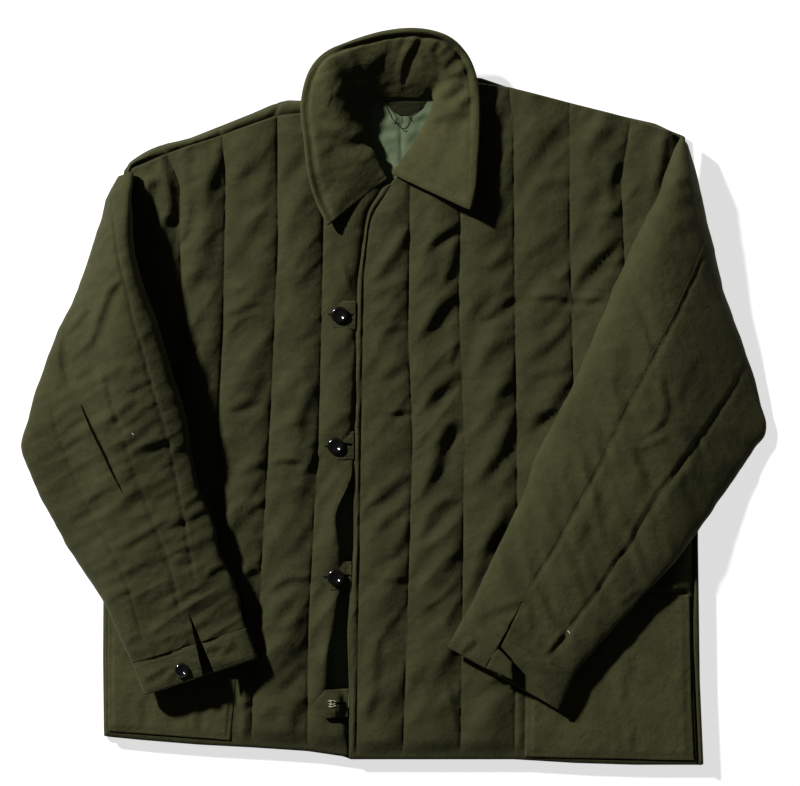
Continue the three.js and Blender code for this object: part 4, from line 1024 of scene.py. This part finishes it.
def build_collar():
    rows = catmull(COLLAR_STATIONS, 210)
    t = np.linspace(0, 1, 74)[None, :, None]
    seam, crest, rim = rows[:, None, 0:3], rows[:, None, 3:6], rows[:, None, 6:9]
    place = np.linspace(0, 17, 210)[:, None]
    firm = (1.3 + 2.0 * np.exp(-((place - 4) / 2.2) ** 2))[..., None]
    pull = (crest * (2 + 2 * firm) - seam - rim) / (2 * firm)
    middle = (1 - t) ** 2 * seam + 2 * firm * t * (1 - t) * pull + t ** 2 * rim
    middle = middle / ((1 - t) ** 2 + 2 * firm * t * (1 - t) + t ** 2)
    normal = np.cross(np.gradient(middle, axis=0), np.gradient(middle, axis=1))
    normal /= np.linalg.norm(normal, axis=2, keepdims=True)
    across = np.linalg.norm(np.diff(middle, axis=1), axis=2)
    to_rim = np.concatenate([np.cumsum(across[:, ::-1], 1)[:, ::-1], np.zeros((len(rows), 1))], 1)
    along = np.linalg.norm(np.diff(middle, axis=0), axis=2)
    from_start = np.concatenate([np.zeros((1, 74)), np.cumsum(along, 0)], 0)
    to_end = from_start[-1:] - from_start
    soft = smooth((13.0 - place) / 3.0)  # the left side and back roll more than the right leaf
    edge = np.minimum(to_rim, np.where(place < 8, from_start, to_end))
    ridge = 1.5 * np.exp(-((to_rim - 1.2) / 2.0) ** 2) - 3.2 * np.exp(-((to_rim - 6.4) / 2.2) ** 2)
    ridge = ridge * smooth(np.minimum(from_start, to_end) / 16)
    flat = -0.6 * np.exp(-((edge - 8.5) / 1.1) ** 2) - 0.9 * np.exp(-(edge / 1.5) ** 2)
    x, y = middle[..., 0].copy(), middle[..., 1].copy()
    inside = smooth(to_rim / 10) * smooth(np.minimum(from_start, to_end) / 8)
    lift = lerp(flat, ridge, soft) + 0.6 * inside * folds_at(x, y, COLLAR_FOLDS)
    lift = lift + inside * (0.9 * value_noise(x, y, 30, 16, 221, 60) + 0.3 * value_noise(x, y, 12, 6, 222, 30)
                            + 0.3 * soft * creases(x, y, 40, 18, 223, 20))
    top = middle + normal * (COLLAR_THICKNESS / 2 + lift)[..., None]
    foot = middle - normal * (COLLAR_THICKNESS / 2 - 0.3 * inside * 0)[..., None]
    if top[..., 2].mean() < foot[..., 2].mean():
        top, foot = foot, top
    ids = np.arange(210 * 74).reshape(210, 74)
    rim_ids = rim_of(ids)
    upper, lower = top.reshape(-1, 3), foot.reshape(-1, 3)
    points, faces = [upper], [grid_faces(ids)]
    last, count = rim_ids, ids.size
    grid_mid = ((top + foot) / 2).reshape(-1, 3)[rim_ids]
    inner_mid = ((top + foot) / 2)[3:-3, 3:-3].reshape(-1, 3)
    ahead = np.roll(grid_mid, -1, 0) - np.roll(grid_mid, 1, 0)
    across_rim = upper[rim_ids] - lower[rim_ids]
    out = np.cross(ahead, across_rim)
    out /= np.maximum(np.linalg.norm(out, axis=1, keepdims=True), 1e-9)
    centre = inner_mid.mean(0)
    if np.sum(out * (grid_mid - centre)) < 0:
        out = -out
    for k in range(1, 6):
        turn = math.pi * k / 6
        share = (1 - math.cos(turn)) / 2
        ring = lerp(upper[rim_ids], lower[rim_ids], share) + out * 1.8 * math.sin(turn)
        here = np.arange(count, count + len(rim_ids))
        points.append(ring)
        faces.append(ring_faces(last, here))
        last, count = here, count + len(rim_ids)
    under = np.arange(count, count + ids.size).reshape(210, 74)
    points.append(lower)
    faces += [grid_faces(under, True), ring_faces(last, rim_of(under))]
    # the collar's olive is lightened with painted light
    return make_object("shell_collar", np.concatenate(points), np.concatenate(faces), PALE_OLIVE_PAINTED_LIGHT)


collar = build_collar()

# ---------- hanging loop ----------
LOOP_Z = LINING_Z + LINING_THICKNESS + SEAM_GAP
LOOP_OUTLINE = [[-10, 323], [-3, 313], [6, 307.5], [15, 306], [23, 307.5], [31, 313], [36, 323]]


def build_loop():
    curve = catmull(LOOP_OUTLINE, 61)
    t = np.linspace(0, 1, 15)[None, :]
    x = curve[:, :1] + 0 * t
    y = lerp(323.0, curve[:, 1:2], t)
    full = np.sin(np.linspace(0, math.pi, 61))[:, None]
    z = LOOP_Z + 1.1 + 0.9 * full * np.sin(t * math.pi * 0.9) ** 0.7
    z = z + 0.35 * value_noise(x, y, 18, 3.2, 241, 8)
    top = np.stack([x, y, z], -1)
    foot = np.stack([x, y, np.full_like(z, LOOP_Z)], -1)
    return slab("neck_loop", top, foot, LOOP, bulge=0.4, steps=3)


loop = build_loop()

# ---------- button tabs and buttons ----------
TABS = [
    ([-41.6, 88], [-78, 91], False), ([-43.4, -53.5], [-78, -54], False),
    ([-46, -195.5], [-80, -196], False), ([-50, -334], [-86, -336], True),
]


def build_tab(i, root, tip, covers):
    name = f"button_tab_{i}"
    cad = tree_of(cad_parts[name])
    s = np.linspace(0, 1, 65)
    t = np.linspace(1, -1, 49)
    top = np.zeros((65, 49, 3))
    for a, along in enumerate(s):
        x = lerp(tip[0], root[0], along)
        narrow = np.clip((x - tip[0]) / 12, 0, 1)
        half = lerp(1.0, 15.0, narrow ** 0.85)
        y = lerp(tip[1], root[1], along) + t * half
        for b in range(49):
            z, _ = height_on([cad], np.clip(x, tip[0] + 0.4, root[0] - 0.4), y[b] * 0.995 + 0.005 * tip[1])
            if z is None:
                z = top[a, b - 1, 2] if b else (top[a - 1, b, 2] if a else 0)
            top[a, b] = (x, y[b], z)
    lone = top[..., 2] <= 0.1
    top[..., 2][lone] = np.median(top[..., 2][~lone])
    for _ in range(6):
        z = top[..., 2]
        top[1:-1, 1:-1, 2] = (z[1:-1, 1:-1] * 2 + z[:-2, 1:-1] + z[2:, 1:-1] + z[1:-1, :-2] + z[1:-1, 2:]) / 6
    x, y = top[..., 0], top[..., 1]
    edge = np.minimum(15.0 - np.abs(t)[None, :] * 15, (s * 36)[:, None])
    top[..., 2] += -0.35 * np.exp(-((edge - 2.6) / 0.9) ** 2) - 0.5 * np.exp(-(edge / 0.9) ** 2)
    top[..., 2] += 0.25 * value_noise(x, y, 10, 6, 260 + i)
    foot = top.copy()
    foot[..., 2] -= 1.9
    slit_y = lerp(tip[1], root[1], 0.75)
    away = np.abs(y - slit_y) + np.where((x > tip[0] + 22) & (x < root[0] - 1), 0, 9)
    top[..., 2] -= 1.1 * np.exp(-(away / 0.8) ** 2)
    return slab(f"front_tab_{i}", top, foot, TRIM, bulge=0.5, steps=4)


tab_pieces = [build_tab(i + 1, *tab) for i, tab in enumerate(TABS)]


def build_button(node_name, name):
    """A turned button: rolled rim and dished middle."""
    low, high = (np.array(c) * 1000 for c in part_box(node_name))
    centre, radius, tall = (low + high) / 2, (high[0] - low[0]) / 2, high[2] - low[2]
    profile = [(0.0, 0.02), (0.55, 0.0), (0.85, 0.06), (0.97, 0.24), (1.0, 0.44), (0.975, 0.66), (0.91, 0.84),
               (0.83, 0.95), (0.74, 1.0), (0.66, 0.98), (0.59, 0.91), (0.51, 0.8), (0.43, 0.69), (0.34, 0.63),
               (0.24, 0.62), (0.12, 0.62), (0.0, 0.62)]
    rows = catmull(profile, 52)
    turn = np.linspace(0, 2 * math.pi, 64, endpoint=False)
    r, z = np.maximum(rows[1:-1, :1], 0.004) * radius, rows[1:-1, 1:] * tall
    x, y = centre[0] + r * np.cos(turn), centre[1] + r * np.sin(turn)
    points = np.stack([x, y, low[2] + z + 0 * x], -1)
    ids = np.arange(50 * 64).reshape(50, 64)
    faces = [list(f) for f in grid_faces(np.concatenate([ids, ids[:, :1]], 1))]
    faces += [list(ids[0]), list(ids[-1])[::-1]]
    return make_object(name, points.reshape(-1, 3), faces, BUTTON)


buttons = {f"button_{i}": build_button(f"button_{i}", f"front_button_{i}") for i in range(1, 5)}
buttons["cuff_button_right"] = build_button("cuff_button_right", "wrist_button_right")

# ---------- stitching ----------
trees = {obj.name: tree_of(obj) for obj in (
    front_right, front_left, pocket_right, pocket_left, sleeve_right, sleeve_left, cuff_right,
    cuff_left, underlap, collar, lining, loop, strip, *tab_pieces)}


def walk(line, spacing, plan=True):
    p = mm(line) if plan else np.asarray(line, float)
    length = np.concatenate([[0], np.cumsum(np.hypot(*np.diff(p, axis=0).T))])
    s = np.arange(spacing / 2, length[-1], spacing)
    points = np.stack([np.interp(s, length, p[:, i]) for i in (0, 1)], -1)
    ahead = np.stack([np.interp(s + 0.8, length, p[:, i]) for i in (0, 1)], -1)
    behind = np.stack([np.interp(s - 0.8, length, p[:, i]) for i in (0, 1)], -1)
    way = ahead - behind
    return points, way / np.maximum(np.hypot(way[:, 0], way[:, 1]), 1e-6)[:, None]


def stitch_rows(name, carriers, rows, material, spacing=3.3, long=2.4, wide=0.42):
    """Rows of single stitches that lie on the pieces below them, as one mesh."""
    points, faces = [], []
    surface = [trees[c.name] for c in carriers]
    for line, plan in rows:
        for (x, y), (dx, dy) in zip(*walk(line, spacing, plan)):
            z, n = height_on(surface, x, y)
            if z is None:
                continue
            z1, _ = height_on(surface, x + dx, y + dy, z)
            z0, _ = height_on(surface, x - dx, y - dy, z)
            rise = np.clip((z1 - z0) / 2, -0.8, 0.8)
            way = np.array([dx, dy, rise]) / math.hypot(1, rise)
            side = np.cross(np.array([n.x, n.y, max(n.z, 0.2)]), way)
            side /= max(np.linalg.norm(side), 1e-6)
            up = np.cross(way, side)
            middle = np.array([x, y, z]) + up * 0.12
            base = len(points)
            for along, size in ((-0.5, 0.35), (-0.25, 1.0), (0.25, 1.0), (0.5, 0.35)):
                spot = middle + way * along * long
                for a, b in ((1, 0), (0, 1), (-1, 0), (0, -1)):
                    points.append(spot + (side * a + up * b) * size * wide / 2)
            for ring in range(3):
                o = base + ring * 4
                faces += [[o + q, o + (q + 1) % 4, o + 4 + (q + 1) % 4, o + 4 + q] for q in range(4)]
            faces += [[base + 3, base + 2, base + 1, base], [base + 12, base + 13, base + 14, base + 15]]
    obj = make_object(name, np.array(points), faces, material, recalc=False)
    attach(obj, "root")
    return obj


def inset(seam, offset):
    return [[x + offset, y] for x, y in seam]


quilt = []
for seam in RIGHT_FRONT["seams"][1:-1]:
    quilt.append(([[float(seam_x(seam, y)), y] for y in np.linspace(seam[0][1] - 3, seam[-1][1] + 3, 90)], False))
stitch_rows("stitches_front_right", [front_right], quilt, THREAD)
quilt = []
for seam in LEFT_FRONT["seams"][1:-1]:
    quilt.append(([[float(seam_x(seam, y)), y] for y in np.linspace(seam[0][1] - 3, seam[-1][1] + 3, 90)], False))
hem_left = [[-44, -390], [73, -390], [132, -390], [198, -394], [263, -395.5], [328, -396]]
stitch_rows("stitches_front_left", [front_left], quilt, THREAD)
stitch_rows("stitches_hem_left", [front_left, pocket_left], [(hem_left, False)], THREAD)
hem_right = [[-310, -364], [-274, -368.5], [-212, -373.5], [-155, -376.5], [-94, -381], [-56, -386]]
stitch_rows("stitches_hem_right", [front_right, pocket_right], [(hem_right, False)], THREAD)
pocket_rows = [
    ([[150, -221.5], [319, -221.5]], False), ([[150, -236], [319, -236]], False),
    ([[150.5, -222], [149.5, -330], [148.5, -388]], False), ([[318, -222], [320, -331], [322, -388]], False)]
stitch_rows("stitches_pocket_left", [pocket_left], pocket_rows, THREAD)
pocket_rows = [
    ([[-306, -226], [-164, -226]], False),
    ([[-165, -226], [-171, -260], [-176, -295], [-184, -370]], False)]
stitch_rows("stitches_pocket_right", [pocket_right], pocket_rows, THREAD)
sleeve_rows = [(line, True) for line, _, _ in SLEEVES["right"]["grooves"]]
sleeve_rows.append(([(203, 607), (207, 627), (211, 636)], True))
# The right sleeve's stitches are real; their dark colour is painted shade of the seam grooves.
stitch_rows("stitches_sleeve_right", [sleeve_right], sleeve_rows, DARK_THREAD_AND_SEAM_SHADE)
seam = SLEEVES["left"]["grooves"][0][0]
sleeve_rows = [([(x - 3.2, y - 1.6) for x, y in seam], True), (SLEEVES["left"]["grooves"][1][0], True)]
stitch_rows("stitches_sleeve_left", [sleeve_left], sleeve_rows, BRIGHT_THREAD, spacing=2.9, long=2.1)
stitch_rows("stitches_collar", [collar], [
    ([(466, 84), (468, 100), (468.5, 128), (467.5, 160), (466, 199)], True),
    ([(402, 182), (425, 190), (445, 197), (464, 203)], True)], THREAD, spacing=3.0)
stitch_rows("stitches_placket", [front_left], [
    ([(372, 222), (377, 221), (385, 218)], True), ([(372, 226), (378, 225), (385, 222)], True)], THREAD)
cuff_rows = [([(138, 667), (196, 647)], True), ([(146, 690), (203, 673)], True), ([(197, 648), (203, 672)], True)]
stitch_rows("stitches_cuff_right", [cuff_right], cuff_rows + [
    ([(205, 648), (246, 632)], True), ([(219, 666), (255, 653.5)], True), ([(206, 648), (219, 665)], True)],
    THREAD, spacing=2.6, long=1.9)
stitch_rows("stitches_cuff_left", [cuff_left, underlap], [
    ([(468, 652), (486, 664)], True), ([(497, 644), (486, 662)], True), ([(501, 651), (511, 659)], True),
    ([(511, 660), (510, 676)], True), ([(508, 677), (489, 666)], True), ([(503, 646), (535, 656), (558, 673)], True)],
    THREAD, spacing=2.4, long=1.7)
tab_rows = []
for root, tip, _ in TABS:
    w = 12.4
    tab_rows.append(([[root[0] - 1, root[1] + w], [tip[0] + 12, tip[1] + w], [tip[0] + 3, tip[1] + 1.5],
                      [tip[0] + 3, tip[1] - 1.5], [tip[0] + 12, tip[1] - w], [root[0] - 1, root[1] - w]], False))
stitch_rows("stitches_tabs", tab_pieces, tab_rows, THREAD, spacing=2.6, long=1.9)
stitch_rows("stitches_lining", [lining], [([(401, 104), (401, 130), (401, 168)], True)], THREAD,
            spacing=2.8, long=2.0)


def strands(name, lines, material, radius=0.32, point=0.0):
    """Thin round strands along smooth lines in x, y and z, their ends pointed by a power."""
    thick = radius * np.sin(np.linspace(0.04, math.pi - 0.04, 34)) ** point
    points, faces = [], []
    for line in lines:
        path = catmull(line, 34)
        way = np.gradient(path, axis=0)
        way /= np.linalg.norm(way, axis=1, keepdims=True)
        side = np.cross(way, [0.0, 0.0, 1.0])
        side /= np.maximum(np.linalg.norm(side, axis=1, keepdims=True), 1e-6)
        up = np.cross(side, way)
        base = len(points)
        for spot, a, b, r in zip(path, side, up, thick):
            points += [spot + r * (a * math.cos(q) + b * math.sin(q)) for q in np.arange(6) * math.pi / 3]
        for i in range(33):
            o = base + i * 6
            faces += [[o + q, o + (q + 1) % 6, o + 6 + (q + 1) % 6, o + 6 + q] for q in range(6)]
        faces += [[base + q for q in range(5, -1, -1)], [base + 198 + q for q in range(6)]]
    obj = make_object(name, np.array(points), faces, material, recalc=False)
    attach(obj, "root")
    return obj


def laid(line, carriers, over=0.7):
    """A line of plan points in the upper left count, laid on what is under it."""
    surface = [trees[c.name] for c in carriers]
    return [(x, y, height_on(surface, x, y, 11.0)[0] + over + (i % 2) * 0.5) for i, (x, y) in enumerate(mm(line))]


strands("loop_thread_ends", [
    laid(line, [lining, loop]) for line in (
        [(386, 104), (389, 112), (392, 118), (396, 123), (401, 127), (404, 131), (407, 130)],
        [(408, 113), (409, 119), (408, 125), (404, 128), (399, 126), (396, 121)],
        [(393, 112), (396, 117), (394, 123)], [(384, 101), (381, 106), (384, 111)],
        [(421, 104), (417, 111), (411, 116), (412, 121)], [(401, 114), (402, 120), (399, 124)])],
    DARK_THREAD_AND_SEAM_SHADE)

# Painted shade: dark strands laid along the buttonhole slits, where the slits show only shade.
strands("buttonhole_slits_painted_shade", [
    laid(line, tab_pieces, 0.1) for line in (
        [(328, 314.2), (331, 314.4), (334, 314.5)], [(346, 314.8), (350, 315), (354, 315.4)],
        [(343, 443.4), (348, 443.5), (352, 443.8)], [(324, 446), (327, 446), (330, 446)],
        [(343, 575), (347, 575), (351, 575.4)], [(322, 576.4), (325, 576.6), (328, 576.8)],
        [(331, 702.4), (338, 702.6), (346, 702.8)])], DEEP_SHADE, 0.75, 0.5)
# Painted shade: a dark strand laid in the right sleeve's cleft for the shade at its bottom.
strands("sleeve_cleft_painted_shade", [laid(catmull(CLEFT, 24), [sleeve_right], 0.0)], DEEP_SHADE, 1.9, 0.6)
strands("worn_buttonhole_thread", [
    laid(line, tab_pieces, 0.4) for line in (
        [(328, 701), (332, 700.4), (336, 701.4)], [(329, 703.6), (333, 704), (337, 703)],
        [(328.6, 706), (332, 706.6), (336, 705.4)], [(330, 700), (331, 703), (330, 707)])], PALE_THREAD, 0.5)
strands("lint_sleeves", [
    laid([(567, 630), (568.6, 631.4), (569.6, 633)], [sleeve_left], 0.4),
    laid([(134, 432.6), (135, 434), (136.4, 434.8)], [sleeve_right], 0.4)], PALE_THREAD, 0.55)

# ---------- what each piece stands for ----------
shell = {
    front_right: ["front_right"], front_left: ["front_left"], back: ["back"], collar: ["collar"],
    sleeve_right: ["sleeve_right"], sleeve_left: ["sleeve_left"], pocket_right: ["pocket_right"],
    pocket_left: ["pocket_left"], loop: ["hanging_loop"], strip: [],
}
trim = {cuff_right: ["cuff_right"], cuff_left: ["cuff_left"], underlap: ["cuff_left_underlap"]}
trim.update({piece: [f"button_tab_{i + 1}"] for i, piece in enumerate(tab_pieces)})
for group, name in ((shell, "shell"), (trim, "trim"), ({lining: ["back_lining"]}, "lining"),
                    ({piece: [n] for n, piece in buttons.items()}, "button")):
    for piece, nodes_replaced in group.items():
        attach(piece, "root")
        if nodes_replaced:
            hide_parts(*nodes_replaced)

# ---------- studio ----------
def plain(name, colour, roughness):
    mat = bpy.data.materials.new(name)
    mat.use_nodes = True
    shader = mat.node_tree.nodes["Principled BSDF"]
    shader.inputs["Base Color"].default_value = (*colour, 1)
    shader.inputs["Roughness"].default_value = roughness
    shader.inputs["Specular IOR Level"].default_value = 0.1
    return mat


floor_mesh = bpy.data.meshes.new("studio_floor")
floor_mesh.from_pydata([(-14, -14, 0), (14, -14, 0), (14, 14, 0), (-14, 14, 0)], [], [(0, 1, 2, 3)])
pale = plain("pale_floor", (0.5, 0.5, 0.5), 0.9)
pale.node_tree.nodes["Principled BSDF"].inputs["Emission Color"].default_value = (1, 1, 1, 1)
pale.node_tree.nodes["Principled BSDF"].inputs["Emission Strength"].default_value = 0.7
floor_mesh.materials.append(pale)
floor = bpy.data.objects.new("studio_floor", floor_mesh)
bpy.context.scene.collection.objects.link(floor)

world = bpy.data.worlds.new("studio")
bpy.context.scene.world = world
world.use_nodes = True
world.node_tree.nodes["Background"].inputs["Color"].default_value = (1, 1, 1, 1)
world.node_tree.nodes["Background"].inputs["Strength"].default_value = 0.04

key = bpy.data.lights.new("key_softbox", "AREA")
key.shape, key.size = "DISK", 0.34
key.energy = 450
key_object = bpy.data.objects.new("key_softbox", key)
elevation = math.radians(33)
toward = Vector((-0.77 * math.cos(elevation), 0.64 * math.cos(elevation), math.sin(elevation)))
key_object.location = toward * 5.0
key_object.rotation_euler = toward.to_track_quat("Z", "Y").to_euler()
bpy.context.scene.collection.objects.link(key_object)

camera = bpy.data.cameras.new("camera")
camera.lens = 300
camera.sensor_width = 36
camera.clip_end = 100
camera_object = bpy.data.objects.new("camera", camera)
half_width = 400 * 1.09 / 1000
camera_object.location = (0.0071, 0.0038, 0.02 + half_width / (18 / 300))
bpy.context.scene.collection.objects.link(camera_object)
bpy.context.scene.camera = camera_object
bpy.context.scene.view_settings.view_transform = "Standard"
